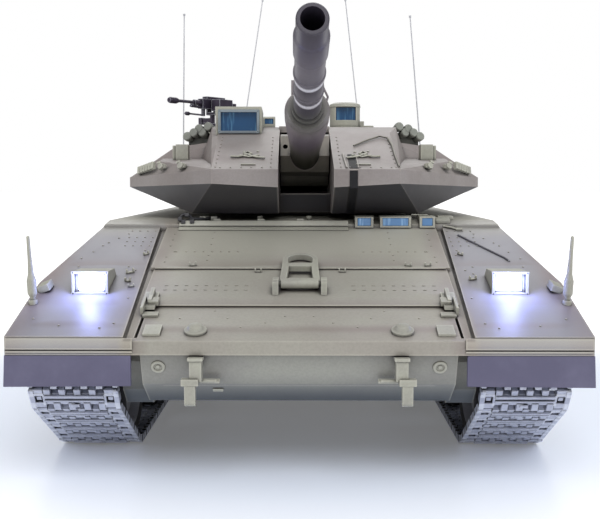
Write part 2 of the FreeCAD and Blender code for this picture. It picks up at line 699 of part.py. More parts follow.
def turret_shell():
    """The armour shell: two cheeks, the body between them and the rear bustle."""
    spine = box(-SLOT_HALF - 0.5, SLOT_HALF + 0.5, 180, 330, TURRET_LOW_Z, ROOF_Z)
    shield = side_prism(SHIELD, -SLOT_HALF - 0.5, SLOT_HALF + 0.5)
    outer = fused(all_cheek_bodies() + [spine, hull_body(BUSTLE), shield])
    inner_cheeks = both_sides([hull_body(shrunk(corners, 4.0)) for corners in (CHEEK, WING, SHOULDER)])
    inner_spine = box(-SLOT_HALF - 8, SLOT_HALF + 8, 204, 320, TURRET_LOW_Z + 3, ROOF_Z - 3)
    cuts = inner_cheeks + [inner_spine, hull_body(shrunk(BUSTLE, 4.0))]
    cuts.append(box(-SLOT_HALF, SLOT_HALF, 170, 204, TURRET_LOW_Z - 1, ROOF_Z - 3.5))
    cuts.append(post(0, TURRET_CENTRE, TURRET_LOW_Z - 1, TURRET_LOW_Z + 6, 50))
    cuts.append(post(*COMMANDER, ROOF_Z - 6, ROOF_Z + 2, COMMANDER_R - 3))
    return outer.cut(cuts)


def turret_ring():
    """The traverse ring: it carries the shell and turns in the deck's opening."""
    base = vec(0, TURRET_CENTRE, 0)
    section = [(96, 49), (96, RING_R), (DECK_Z + 0.4, RING_R), (DECK_Z + 0.4, 62), (108.9, 62), (108.9, 49)]
    return turned(section, base, direction(0, 0, 1))


def sight_housing():
    """The gunner's box sight with a forward window pocket."""
    x0, x1, s0, top = -49.8, -24.0, 163.0, 167.4
    shape = hull_body([(x0, s0, 151.6), (x1, s0, 151.6), (x0, s0 - 1.0, top), (x1, s0 - 1.0, top),
                       (x0, s0 + 30, 156.0), (x1, s0 + 30, 156.0), (x0, s0 + 30, top - 1.5), (x1, s0 + 30, top - 1.5)])
    pocket = box(x0 + 2.8, x1 - 2.5, s0 - 5, s0 + 4, 153.4, 164.6)
    return shape.cut(all_cheek_bodies() + [pocket])


def panoramic_sight():
    """The round sight head with a window pocket, on a stepped foot."""
    base = vec(26.6, 239, ROOF_Z + 0.1)
    profile = [(0, 0), (0, 11.5), (2.4, 11.5), (2.4, 9.6), (14.6, 9.6), (15.2, 10.0), (16.8, 9.6), (17.8, 7.5), (18.1, 0)]
    head = turned(profile, base, direction(0, 0, 1))
    step = box(base.x + 9.0, base.x + 12.0, 235, 243, ROOF_Z + 0.1, ROOF_Z + 6.2)
    return fused([head, step]).cut(box(20.6, 33.2, 228, 235.2, 164.2, 172.4))


def small_periscope(x, station):
    shell = side_prism([(station, ROOF_Z + 0.1), (station, ROOF_Z + 5.8), (station + 1.2, ROOF_Z + 6.6),
                        (station + 7, ROOF_Z + 6.6), (station + 7, ROOF_Z + 0.1)], x - 3.6, x + 3.6)
    return shell.cut(box(x - 2.6, x + 2.6, station - 1, station + 1.8, ROOF_Z + 2.2, ROOF_Z + 5.4))


def warning_box():
    """A laser-warning sensor box standing on the wing beside the shoulder."""
    box_shape = box(65.8, 72.6, 166.0, 176.0, 134.0, 146.6)
    rib = box(72.5, 74.6, 168.0, 175.0, 134.0, 146.0)
    return fused([box_shape, rib]).cut(cheek_bodies())


def turret_fittings():
    """Fixed pieces on the turret: sights, sensor boxes, periscopes, lifting lugs and a hatch collar."""
    solids = [sight_housing(), panoramic_sight(), small_periscope(-20.7, 196.0)]
    solids += both_sides([warning_box()])
    solids += [post(x, s, ROOF_Z + 0.1, ROOF_Z + 2.2, 3.0) for x, s in ((40, 215), (-8, 330), (36, 330))]
    collar = [(0, COMMANDER_R + 0.6), (0, COMMANDER_R + 3), (1.6, COMMANDER_R + 2.4), (1.6, COMMANDER_R + 0.6)]
    ring = turned(collar, vec(*COMMANDER, ROOF_Z + 0.1), direction(0, 0, 1))
    hinge_room = box(COMMANDER[0] - 7, COMMANDER[0] + 7, COMMANDER[1] + 8, COMMANDER[1] + 22, ROOF_Z - 1, ROOF_Z + 6)
    solids += ring.cut(hinge_room).Solids
    pedestal = post(MG_PIVOT[0], MG_PIVOT[1], ROOF_Z - 14, ROOF_Z + 3, 4.0).cut(all_cheek_bodies())
    solids.append(max(pedestal.Solids, key=lambda solid: solid.Volume))
    return group(solids)


def sight_glass():
    """Window panes of the box sight, the round sight and the roof periscope."""
    panes = [box(-46.8, -26.7, 165.0, 166.6, 153.9, 164.4), box(20.8, 33.0, 233.2, 235.0, 164.4, 172.2)]
    panes.append(box(-23.2, -18.2, 196.6, 197.6, ROOF_Z + 2.4, ROOF_Z + 5.2))
    return group(panes)


def smoke_tube(x, station, z):
    """One discharger cup pointing forward and a little up and out."""
    aim = direction(0.35 if x > 0 else -0.35, -1, 0.28)
    cup = [(0, 0), (0, 2.2), (7.5, 2.2), (7.5, 2.7), (10, 2.7), (10.6, 2.2), (10.6, 0)]
    return turned(cup, vec(x, station, z), aim)


SMOKE_CUPS = ((54.6, 213, 156.2), (58.2, 213.4, 152.8), (60.2, 214.4, 155.0), (63.4, 213.8, 152.6),
              (67.3, 214.2, 150.4))


def smoke_launchers():
    """Two banks of dischargers, each on one bracket plate."""
    banks = []
    for sign in (-1, 1):
        tubes = [smoke_tube(sign * x, s, z) for x, s, z in SMOKE_CUPS]
        plate = hull_body([(sign * x, s, z) for x in (52.0, 70) for s, z in ((210, 145), (219, 145))]
                          + [(sign * 52.0, 210, 156.5), (sign * 52.0, 219, 156.5), (sign * 70, 210, 150.0),
                             (sign * 70, 219, 150.0)])
        bank = fused([plate] + tubes).cut(all_cheek_bodies())
        banks.append(max(bank.Solids, key=lambda s: s.Volume))
    return group(banks)


ANTENNAS = (((-82.6, 290, 139.6), (-81.0, 290, 240.0)), ((82.6, 290, 139.6), (73.8, 290, 239.0)),
            ((-48.0, 396, 156.0), (-30.6, 396, 269.0)), ((48.0, 396, 156.0), (35.0, 396, 269.5)))


def antennas():
    """Four whip antennas: two on the shoulders, two at the bustle's rear corners."""
    whips = []
    for foot, tip in ANTENNAS:
        foot, tip = vec(*foot), vec(*tip)
        length = (tip - foot).Length
        profile = [(0, 0), (0, 2.4), (3, 2.4), (3.5, 1.5), (9, 1.2), (10, 0.45), (length - 1.4, 0.4),
                   (length - 1.4, 0.8), (length, 0.8), (length, 0)]
        whips.append(turned(profile, foot, tip - foot))
    shells = all_cheek_bodies() + [hull_body(BUSTLE)]
    return group([max(whip.cut(shells).Solids, key=lambda s: s.Volume) for whip in whips])


def turret_basket():
    """The stowage rack behind the bustle: rails, posts and a bar floor."""
    x, s0, s1 = 74.0, TURRET_TAIL + 0.2, 441.0
    rails = []
    for z in (129.0, 138.0, 147.0):
        rails.append(bar(vec(-x, s1, z), vec(x, s1, z), 1.1))
        rails += both_sides([bar(vec(x, s0 + 0.6, z), vec(x, s1, z), 0.95)])
    posts = [post(sign * px, s1, 128.0, 148.0, 1.2) for px in (74.0, 45.0, 15.0) for sign in (-1, 1)]
    posts += both_sides([post(x, s0 + 1.6, 128.0, 148.0, 1.2)])
    floor = [bar(vec(sign * px, s0, 129.0), vec(sign * px, s1, 129.0), 0.9) for px in (60, 45, 30, 15)
             for sign in (-1, 1)]
    front = [bar(vec(-x, s0 + 1.6, 129.0), vec(x, s0 + 1.6, 129.0), 1.1)]
    return fused(rails + posts + floor + front)


def commander_hatch():
    x, station = COMMANDER
    lid = turned([(0, 0), (0, COMMANDER_R), (1.6, COMMANDER_R), (3.0, COMMANDER_R - 2.5), (3.4, 0)],
                 vec(x, station, ROOF_Z + 0.3), direction(0, 0, 1))
    arm = box(x - 4, x + 4, station + 9, station + 17, ROOF_Z + 0.4, ROOF_Z + 2.4)
    barrel = rod(x - 5.5, x + 5.5, station + 17.5, ROOF_Z + 2.2, 1.8)
    return fused([lid, arm, barrel])


def gun_local(shape):
    """Gun parts are drawn level and then raised to their rest angle about the trunnions."""
    return turned_about_x(shape, TRUNNION[0], TRUNNION[1], GUN_REST)


def gun_mantlet():
    """The cradle block between the cheeks, with trunnion drum and coaxial gun port."""
    s, z = TRUNNION
    half = SLOT_HALF - 0.7
    drum = rod(-half, half, s, z, 13.0)
    face = side_prism([(s + 8, z - 9), (s + 8, z + 12), (s - 20, z + 12.5), (s - 28, z + 9.7), (s - 30, z - 1.5),
                       (s - 22, z - 9)], -half, half)
    port = Part.makeCylinder(1.3, 12, vec(-10.6, s - 34, z + 3.7), direction(0, 1, 0))
    socket = Part.makeCylinder(7.9, 20, vec(0, s - 34, z), direction(0, 1, 0))
    return gun_local(fused([drum, face]).cut([port, socket]))


BARREL = [(15.0, 0), (15.0, 7.7), (34, 7.7), (60, 8.5), (96, 9.8), (110, 10.2), (122, 10.2), (124.5, 8.8), (126, 8.8),
          (126, 7.0), (131, 7.0), (131, 6.1), (158, 6.05), (158.3, 6.45), (160, 6.45), (160.3, 6.0), (182, 6.0),
          (182.3, 6.4), (184, 6.4), (184.3, 5.9), (203, 5.85), (208, 6.35), (226, 6.35), (229, 5.5),
          (GUN_REACH - 0.6, 5.5), (GUN_REACH, 5.1), (GUN_REACH, BORE_R), (GUN_REACH - 42, BORE_R), (GUN_REACH - 42, 0)]


def gun_barrel():
    """The barrel with thermal sleeve sections, fume collar, muzzle ring and open bore."""
    tube = turned(BARREL, vec(0, *TRUNNION), direction(0, -1, 0))
    s, z = TRUNNION
    block = box(-7.2, -5.8, s - 121, s - 115, z + 7, z + 14.5)
    corners = [vec(5.8, s - 118, z + 8), vec(7.2, s - 118, z + 12.2), vec(9.4, s - 118, z + 7.6),
               vec(8.4, s - 118, z + 4.6)]
    hook = [bar(a, b, 0.5) for a, b in zip(corners[:-1], corners[1:])]
    return gun_local(fused([tube, block] + hook))


def mg_mount():
    """The pintle: a foot, a post and a fork that carries the machine gun."""
    x, s, z = MG_PIVOT
    foot = post(x, s, ROOF_Z + 3.2, ROOF_Z + 5.0, 3.4)
    stem = post(x, s, ROOF_Z + 4.8, z - 6.4, 1.6)
    yoke = box(x - 3.6, x + 3.6, s - 2, s + 2, z - 7.2, z - 5.4)
    ears = [box(x - 3.6, x - 2.5, s - 2, s + 2, z - 6, z + 1.6), box(x + 2.5, x + 3.6, s - 2, s + 2, z - 6, z + 1.6)]
    crank = box(x - 9.5, x, s - 1.2, s + 1.2, ROOF_Z + 5.4, ROOF_Z + 8.6)
    knob = box(x - 10.5, x - 8.0, s - 2, s + 2, ROOF_Z + 4.6, ROOF_Z + 9.0)
    return turned_about_post(fused([foot, stem, yoke, crank, knob] + ears), x, s)


def turned_about_post(shape, x, station):
    return shape.rotated(vec(x, station, 0), FreeCAD.Vector(0, 0, 1), -MG_YAW)


def machine_gun():
    """A belt-fed machine gun: receiver, jacketed barrel, flash hider, gas tube, grips and ammunition box."""
    x, s, z = MG_PIVOT
    receiver = box(x - 2.2, x + 2.2, s - 11, s + 17, z - 3.6, z + 2.6)
    cover = box(x - 2.0, x + 2.0, s - 7, s + 10, z + 2.5, z + 4.2)
    trigger_box = box(x - 1.8, x + 1.8, s + 16, s + 21, z - 3.0, z + 1.2)
    grips = [bar(vec(x + dx, s + 20.5, z - 2.4), vec(x + dx, s + 23.5, z - 2.4), 0.9) for dx in (-1.4, 1.4)]
    shroud = bar(vec(x, s - 10.8, z), vec(x, s - 17, z), 1.7)
    barrel = bar(vec(x, s - 16.8, z), vec(x, s - 31, z), 0.95)
    hider = turned([(0, 0), (0, 1.2), (2.0, 1.9), (7, 1.9), (8, 1.5), (8, 0)], vec(x, s - 30.6, z), direction(0, -1, 0))
    gas = bar(vec(x, s - 10.8, z - 2.7), vec(x, s - 20, z - 2.4), 0.8)
    strut = box(x - 0.7, x + 0.7, s - 19.5, s - 18.0, z - 2.4, z)
    rest = box(x - 0.8, x + 0.8, s - 9.5, s - 7.5, z - 8.2, z - 3.4)
    rest_rod = bar(vec(x, s - 8.5, z - 7.6), vec(x, s - 24, z - 7.2), 0.55)
    bulb = turned([(0, 0), (0, 0.6), (1.2, 1.2), (3.4, 1.2), (4.4, 0.5), (4.6, 0)], vec(x, s - 20.5, z - 7.3), direction(0, -1, 0))
    bag = box(x + 3.9, x + 11.0, s - 5, s + 7, z - 5.0, z + 2.2)
    feed = box(x + 1.9, x + 4.2, s + 3.8, s + 6.4, z - 0.4, z + 2.0)
    pin = rod(x - 2.4, x + 2.4, s, z, 1.0)
    gun = fused([receiver, cover, trigger_box, shroud, barrel, hider, gas, strut, rest, rest_rod, bulb, bag, feed, pin]
                + grips)
    ear_room = box(x + 2.3, x + 3.9, s - 2.6, s + 2.4, z - 7, z + 4)
    return turned_about_post(gun.cut(ear_room), x, s)


# ---------------------------------------------------------------- output

def save(name, shape):
    shape.exportStep("parts/%s.step" % name)
    extent = shape.BoundBox
    print("%-22s solids %3d volume %10.1f  y %7.1f %7.1f  z %6.1f %6.1f valid %s" % (
        name, len(shape.Solids), shape.Volume, extent.YMin, extent.YMax, extent.ZMin, extent.ZMax, shape.isValid()))


def at_turret_rest(shape):
    """Turret pieces are drawn straight ahead and stand a little off centre at rest."""
    return shape.rotated(vec(0, TURRET_CENTRE, 0), FreeCAD.Vector(0, 0, 1), TURRET_REST)


def hull_pieces():
    return {"lower_hull": lower_hull(), "upper_hull": upper_hull(), "side_skirts": skirt_panels(),
            "mud_flaps": mud_flaps(), "hull_fittings": hull_fittings(), "headlight_lenses": headlight_lenses(),
            "periscope_glass": periscope_glass(), "tow_hooks": tow_hooks(), "marker_rods": marker_rods(),
            "battery": battery(), "battery_cover": battery_cover(), "electronics": electronics(),
            "gear_motors": group(both_sides([gear_motor()])), "hull_screws": hull_screws(),
            "driver_hatch": driver_hatch(), "travel_lock": travel_lock(), "rear_door": rear_door(),
            "power_switch": power_switch()}


def turret_pieces():
    straight = {"turret_shell": turret_shell(), "turret_ring": turret_ring(), "sight_glass": sight_glass(),
                "turret_fittings": turret_fittings(), "smoke_launchers": smoke_launchers(),
                "antennas": antennas(), "turret_basket": turret_basket(), "gun_mantlet": gun_mantlet(),
                "gun_barrel": gun_barrel(), "commander_hatch": commander_hatch(), "mg_mount": mg_mount(),
                "machine_gun": machine_gun()}
    return {name: at_turret_rest(shape) for name, shape in straight.items()}


def running_gear_pieces():
    pieces = {}
    for side in ("left", "right"):
        pieces["track_%s" % side] = track(side)
        pieces["sprocket_%s" % side] = marked_side(sprocket(), side)
        pieces["idler_%s" % side] = marked_side(idler(), side)
        for number, station in enumerate(wheel_stations(), start=1):
            pieces["arm_%s_%d" % (side, number)] = marked_side(suspension_arm(station), side)
            wheel = road_wheel(station, WHEEL_Z, WHEEL_R, 3.0 + 0.1)
            pieces["wheel_%s_%d" % (side, number)] = marked_side(wheel, side)
    return pieces


def main():
    os.makedirs("parts", exist_ok=True)
    for pieces in (hull_pieces(), turret_pieces(), running_gear_pieces()):
        for name, shape in pieces.items():
            save(name, shape)


main()
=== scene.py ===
import json
import math

import bmesh
import bpy
from mathutils import Matrix, Vector

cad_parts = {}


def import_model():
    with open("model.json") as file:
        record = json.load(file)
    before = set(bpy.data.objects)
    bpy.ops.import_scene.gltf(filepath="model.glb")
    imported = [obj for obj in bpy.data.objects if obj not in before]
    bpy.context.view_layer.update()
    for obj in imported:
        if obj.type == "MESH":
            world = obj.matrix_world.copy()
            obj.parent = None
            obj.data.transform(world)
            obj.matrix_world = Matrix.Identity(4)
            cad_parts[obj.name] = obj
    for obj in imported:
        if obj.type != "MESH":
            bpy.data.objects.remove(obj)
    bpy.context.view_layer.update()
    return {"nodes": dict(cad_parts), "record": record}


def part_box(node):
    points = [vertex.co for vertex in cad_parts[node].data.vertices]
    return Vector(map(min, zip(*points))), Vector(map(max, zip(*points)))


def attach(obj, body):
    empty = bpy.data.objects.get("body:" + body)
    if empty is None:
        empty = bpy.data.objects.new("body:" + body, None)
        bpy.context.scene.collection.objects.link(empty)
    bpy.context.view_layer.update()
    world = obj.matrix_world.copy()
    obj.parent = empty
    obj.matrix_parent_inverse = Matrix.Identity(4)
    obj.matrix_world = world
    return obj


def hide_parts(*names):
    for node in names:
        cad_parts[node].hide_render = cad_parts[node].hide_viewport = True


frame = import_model()
NODES = frame["nodes"]
BODIES = frame["record"]["behaviour"]["bodies"]
BODY_OF = {name: body for body, names in BODIES.items() for name in names}

# ------------------------------------------------------------------ places
# What comes from the frame is in metres, other sizes are in millimetres. A station is the distance
# behind the hull's front lip, which is at FRONT.
MM = 0.001
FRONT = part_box("upper_hull")[0].y
SLOPE = 0.31
LIP_Z = 62.7
DECK_Z = 105.5
ROOF_Z = 157.5
LAMP_X = 92.0
TURRET_CENTRE = 262.0
TURRET_REST = math.radians(0.9)
SIDES = (-1, 1)
WHEELS = range(1, 7)
UP = Vector((0, 0, 1))
ACROSS = Vector((1, 0, 0))
AFT = Vector((0, 1, 0))
AHEAD = Vector((0, -1, 0))
GLACIS_UP = Vector((0, -SLOPE, 1)).normalized()
PIVOT = Vector((0, FRONT + TURRET_CENTRE * MM, 0))
TURNED = Matrix.Translation(PIVOT) @ Matrix.Rotation(TURRET_REST, 4, "Z") @ Matrix.Translation(-PIVOT)


def at(x, station, z):
    """A point from millimetres: across, behind the front lip, above the ground."""
    return Vector((x * MM, FRONT + station * MM, z * MM))


def on_glacis(x, station, lift=0.0):
    """A point on the sloped front plate, lifted along the plate's normal."""
    return at(x, station, LIP_Z + SLOPE * station) + GLACIS_UP * (lift * MM)


def facing(point, normal, along=ACROSS):
    """A frame at point whose Z is the normal and whose X is as near as it can be to along."""
    z = Vector(normal).normalized()
    x = (along - z * along.dot(z)).normalized()
    y = z.cross(x)
    return Matrix.Translation(point) @ Matrix((x, y, z)).transposed().to_4x4()


# ------------------------------------------------------------------ mesh helpers
BEVEL_PROFILE = 0.6
CORNER_ANGLE = 0.5
SHARP_ANGLE = math.radians(35)


def bevel_edges(bm, edges, width, segments=2):
    """A rounded bevel, its width in millimetres."""
    bmesh.ops.bevel(bm, geom=edges, offset=width * MM, segments=segments, profile=BEVEL_PROFILE,
                    affect="EDGES", clamp_overlap=True)


def sharpen(bm, new_faces, width, segments=2):
    """A small bevel on the new faces' corners."""
    bevel_edges(bm, list({e for f in new_faces for e in f.edges if e.calc_face_angle(0) > CORNER_ANGLE}),
                width, segments)


def block(bm, place, size, bevel=0.2, offset=(0, 0, 0)):
    """A bevelled box; size and offset in millimetres along the place's own axes."""
    scale = Matrix.Diagonal(Vector(size) * MM).to_4x4()
    shift = Matrix.Translation(Vector(offset) * MM)
    made = bmesh.ops.create_cube(bm, size=1.0, matrix=place @ shift @ scale)
    faces = {f for v in made["verts"] for f in v.link_faces}
    sharpen(bm, faces, bevel)


def lathe(bm, place, profile, sides=24):
    """A turned shape from (radius, height) pairs in millimetres about the place's Z."""
    rings = []
    for radius, height in profile:
        if radius <= 0:
            rings.append([bm.verts.new(place @ Vector((0, 0, height * MM)))])
            continue
        ring = []
        for i in range(sides):
            a = 2 * math.pi * i / sides
            spot = Vector((radius * math.cos(a), radius * math.sin(a), height)) * MM
            ring.append(bm.verts.new(place @ spot))
        rings.append(ring)
    for low, high in zip(rings[:-1], rings[1:]):
        for i in range(sides):
            j = (i + 1) % sides
            corners = [low[i % len(low)], low[j % len(low)], high[j % len(high)], high[i % len(high)]]
            unique = list(dict.fromkeys(corners))
            if len(unique) > 2:
                bm.faces.new(unique)


def rivet(bm, place, radius=0.5, height=0.35, sides=10):
    """A low domed head that starts a little below the surface."""
    shoulder = (radius * 0.72, height * 0.85)
    lathe(bm, place, [(radius, -0.2), (radius, height * 0.35), shoulder, (0, height)], sides)


def tube(bm, points, radius, sides=10, closed=False):
    """A round rod through points, with flat ends unless it is a closed ring."""
    count = len(points)
    rings = []
    normal = None
    for i, p in enumerate(points):
        before = points[i - 1] if (i or closed) else p
        after = points[(i + 1) % count] if (i < count - 1 or closed) else p
        along = (after - before).normalized()
        if normal is None:
            guess = UP if abs(along.z) < 0.9 else ACROSS
            normal = (guess - along * guess.dot(along)).normalized()
        else:
            normal = (normal - along * normal.dot(along)).normalized()
        side = along.cross(normal)
        rings.append([bm.verts.new(p + (normal * math.cos(a) + side * math.sin(a)) * radius * MM)
                      for a in (2 * math.pi * k / sides for k in range(sides))])
    pairs = list(zip(rings[:-1], rings[1:])) + ([(rings[-1], rings[0])] if closed else [])
    for low, high in pairs:
        for k in range(sides):
            j = (k + 1) % sides
            bm.faces.new((low[k], low[j], high[j], high[k]))
    if not closed:
        bm.faces.new(list(reversed(rings[0])))
        bm.faces.new(rings[-1])


def shade(mesh):
    """Smooth shading that stays sharp at the corners."""
    for polygon in mesh.polygons:
        polygon.use_smooth = True
    mesh.set_sharp_from_angle(angle=SHARP_ANGLE)


def piece(name, bm, material, body, turret=False):
    """Turns a bmesh into a named piece that rides on a body; turret pieces take the turret's rest turn."""
    if turret:
        bmesh.ops.transform(bm, matrix=TURNED, verts=bm.verts)
    bmesh.ops.recalc_face_normals(bm, faces=bm.faces)
    thing = placed(name, bm, [material])
    shade(thing.data)
    weighted(thing)
    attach(thing, body)
    return thing


def placed(name, bm, materials):
    """An object in the scene made from a bmesh, which is freed."""
    mesh = bpy.data.meshes.new(name)
    bm.to_mesh(mesh)
    bm.free()
    for material in materials:
        mesh.materials.append(material)
    thing = bpy.data.objects.new(name, mesh)
    bpy.context.scene.collection.objects.link(thing)
    return thing


def weighted(thing):
    """Flat faces keep flat shading beside their bevels."""
    finish = thing.modifiers.new("weighted", "WEIGHTED_NORMAL")
    finish.keep_sharp = True
    finish.weight = 80


WELD = 2e-6
FLAT_ANGLE = math.radians(0.6)
CAD_CORNER = 32


def finish_node(name, material, width, angle=CAD_CORNER, second=None, merge=True):
    """A copy of a CAD node with softened edges and clean shading stands for the node.

    Corners above the angle in degrees get a bevel of the width in millimetres. second is another
    material with the test that picks its faces. merge joins flat triangles into larger faces; it is
    off where a face runs round an open mouth.
    """
    bm = bmesh.new()
    bm.from_mesh(NODES[name].data)
    bmesh.ops.remove_doubles(bm, verts=bm.verts, dist=WELD)
    if merge:
        bmesh.ops.dissolve_limit(bm, angle_limit=FLAT_ANGLE, verts=bm.verts, edges=bm.edges)
    if width:
        limit = math.radians(angle)
        bevel_edges(bm, [e for e in bm.edges if len(e.link_faces) == 2 and e.calc_face_angle(0) > limit],
                    width)
    thing = placed(name + "_finish", bm, [material, second[0]] if second else [material])
    if second:
        for polygon in thing.data.polygons:
            polygon.material_index = int(second[1](polygon.center))
    shade(thing.data)
    weighted(thing)
    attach(thing, BODY_OF[name])
    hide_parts(name)
    return thing


# ------------------------------------------------------------------ materials
class Shader:
    """A small helper round one Principled material."""

    def __init__(self, name, **sockets):
        self.material = bpy.data.materials.new(name)
        self.material.use_nodes = True
        self.nodes = self.material.node_tree.nodes
        self.links = self.material.node_tree.links
        self.bsdf = self.nodes["Principled BSDF"]
        for key, value in sockets.items():
            self.bsdf.inputs[key.replace("_", " ")].default_value = value
        self.coords = self.nodes.new("ShaderNodeTexCoord").outputs["Object"]

    def node(self, kind, inputs=None, **settings):
        made = self.nodes.new("ShaderNode" + kind)
        for key, value in settings.items():
            setattr(made, key, value)
        for key, value in (inputs or {}).items():
            if isinstance(value, bpy.types.NodeSocket):
                self.links.new(value, made.inputs[key])
            else:
                made.inputs[key].default_value = value
        return made

    def noise(self, scale, detail=4.0, rough=0.55, coords=None):
        return self.node("TexNoise", {"Vector": coords or self.coords, "Scale": scale, "Detail": detail,
                                      "Roughness": rough}).outputs["Fac"]

    def math(self, operation, a, b=0.0, clamp=False):
        return self.node("Math", {0: a, 1: b}, operation=operation, use_clamp=clamp).outputs[0]

    def ramp(self, value, stops, ease="EASE"):
        """Maps a value through (position, brightness or colour) stops."""
        made = self.node("ValToRGB", {"Fac": value})
        ramp = made.color_ramp
        ramp.interpolation = ease
        while len(ramp.elements) < len(stops):
            ramp.elements.new(0.5)
        for element, (position, tone) in zip(ramp.elements, stops):
            element.position = position
            element.color = (*tone, 1) if isinstance(tone, (tuple, list)) else (tone, tone, tone, 1)
        return made.outputs["Color"]

    def range(self, value, low, high):
        """Soft step from 0 at low to 1 at high."""
        return self.node("MapRange", {"Value": value, "From Min": low, "From Max": high},
                         interpolation_type="SMOOTHSTEP").outputs["Result"]

    def mix(self, factor, a, b):
        made = self.node("Mix", data_type="RGBA")
        sockets = {"Factor": made.inputs[0], "A": made.inputs[6], "B": made.inputs[7]}
        for key, value in (("Factor", factor), ("A", a), ("B", b)):
            if isinstance(value, bpy.types.NodeSocket):
                self.links.new(value, sockets[key])
            else:
                sockets[key].default_value = (*value, 1) if key != "Factor" else value
        return made.outputs[2]

    def axes(self):
        return self.node("SeparateXYZ", {0: self.coords}).outputs

    def openness(self, distance, inside=False, samples=6):
        """1 in the open and 0 in a crevice, or on an edge when looked for inside the body."""
        made = self.node("AmbientOcclusion", {"Distance": distance * MM}, samples=samples, inside=inside)
        return made.outputs["AO"]

    def inverse(self, value):
        return self.math("SUBTRACT", 1.0, value, clamp=True)

    def shade_hollows(self, tone, distance, low, high, hollow_shade):
        """The tone with painted shade in its crevices, where the occlusion mask finds hollows."""
        return self.mix(self.inverse(self.range(self.openness(distance), low, high)), tone, hollow_shade)

    def worn(self, tone, distance, low, amount, edge):
        """The tone with paler edges."""
        rim = self.inverse(self.openness(distance, inside=True, samples=4))
        return self.mix(self.math("MULTIPLY", self.range(rim, low, 0.5), amount), tone, edge)

    def colour(self, socket):
        self.links.new(socket, self.bsdf.inputs["Base Color"])

    def roughness(self, socket, low, high):
        spread = self.node("MapRange", {"Value": socket, "To Min": low, "To Max": high})
        self.links.new(spread.outputs["Result"], self.bsdf.inputs["Roughness"])

    def glow(self, socket):
        self.links.new(socket, self.bsdf.inputs["Emission Color"])

    def bump(self, socket, strength=0.2, distance=0.1):
        made = self.node("Bump", {"Height": socket, "Strength": strength, "Distance": distance * MM})
        self.links.new(made.outputs["Normal"], self.bsdf.inputs["Normal"])


def srgb(r, g, b):
    """Linear colour from 0-255 sRGB."""
    def linear(c):
        c /= 255.0
        return c / 12.92 if c <= 0.04045 else ((c + 0.055) / 1.055) ** 2.4
    return tuple(linear(c) for c in (r, g, b))


def paint(name, base, second, crevice, airbrush_and_shade=None, roughness=0.55, edge=None, depth=3.5):
    """Satin model paint: two drifting tones, fine grain, airbrushed tones with some painted shade and light,
    painted shade in the crevices, pale edges.
    """
    s = Shader(name, Roughness=roughness)
    drift = s.range(s.noise(26.0, 5.0, 0.6), 0.38, 0.62)
    tone = s.mix(drift, base, second)
    grain = s.noise(900.0, 3.0, 0.7)
    tone = s.mix(s.math("MULTIPLY", s.range(grain, 0.35, 0.7), 0.12), tone, (0.05, 0.045, 0.045))
    if airbrush_and_shade:
        tone = airbrush_and_shade(s, tone)
    if edge:
        tone = s.worn(tone, 0.9, 0.12, 0.55, edge)
    # painted shade: the crevice colour darkens the hollows that the occlusion mask finds
    s.colour(s.shade_hollows(tone, depth, 0.35, 0.95, crevice))
    s.roughness(s.noise(60.0, 4.0, 0.6), roughness - 0.09, roughness + 0.10)
    s.bump(s.math("ADD", s.math("MULTIPLY", grain, 0.5), s.noise(220.0, 3.0)), 0.25, 0.06)
    return s.material


BROWN = srgb(98, 82, 78)
MAUVE = srgb(120, 106, 106)
# painted shade laid in the crevices of the hull, turret and fittings
CREVICE_SHADE = srgb(52, 47, 44)
# painted light: the paler tone of the upper glacis
GLACIS_PAINTED_LIGHT = srgb(178, 177, 165)
FENDER = srgb(127, 128, 141)
MIST_RUN = 130 * MM
MIST_WIDTH = 120 * MM
TURRET_HEIGHT = 200 * MM


def hull_airbrush_and_painted_light(s, tone):
    """Brown and mauve mist along the plate ridges, gaps and outer edges of the hull, and painted light that
    makes the glacis paler towards its top.
    """
    x, y = s.axes()[0:2]
    station = s.math("SUBTRACT", y, FRONT)
    across = s.math("ABSOLUTE", x)
    wobble = s.math("MULTIPLY", s.math("SUBTRACT", s.noise(34.0, 3.0), 0.5), 6 * MM)
    ridges = s.ramp(s.math("DIVIDE", s.math("ADD", station, wobble), MIST_RUN),
                    [(0.0, 0.12), (0.045, 0.18), (0.075, 0.5), (0.12, 0.0), (0.21, 0.04), (0.235, 0.26),
                     (0.30, 0.02), (0.50, 0.03), (0.535, 0.05), (0.55, 0.42), (0.62, 0.12),
                     (0.68, 0.02), (0.93, 0.0)])
    sides = s.ramp(s.math("DIVIDE", s.math("ADD", across, wobble), MIST_WIDTH),
                   [(0.0, 0.0), (0.47, 0.03), (0.57, 0.55), (0.62, 0.3), (0.68, 0.05), (0.86, 0.1),
                    (0.97, 0.75)])
    mist = s.math("MAXIMUM", ridges, sides)
    patch = s.range(s.noise(14.0, 2.0), 0.25, 0.75)
    mist = s.math("MULTIPLY", mist, s.math("ADD", s.math("MULTIPLY", patch, 0.7), 0.55), clamp=True)
    brown = s.mix(s.range(s.noise(9.0, 2.0), 0.4, 0.6), BROWN, MAUVE)
    fender = s.math("MULTIPLY", s.range(across, 69 * MM, 73 * MM), s.range(station, 135 * MM, 100 * MM))
    # painted light: the glacis grows paler towards its top to offset the turret's shadow there
    tone = s.mix(s.math("MULTIPLY", s.range(station, 30 * MM, 115 * MM), 0.5), tone, GLACIS_PAINTED_LIGHT)
    tone = s.mix(s.math("MULTIPLY", fender, 0.8), tone, FENDER)
    return s.mix(mist, tone, brown)


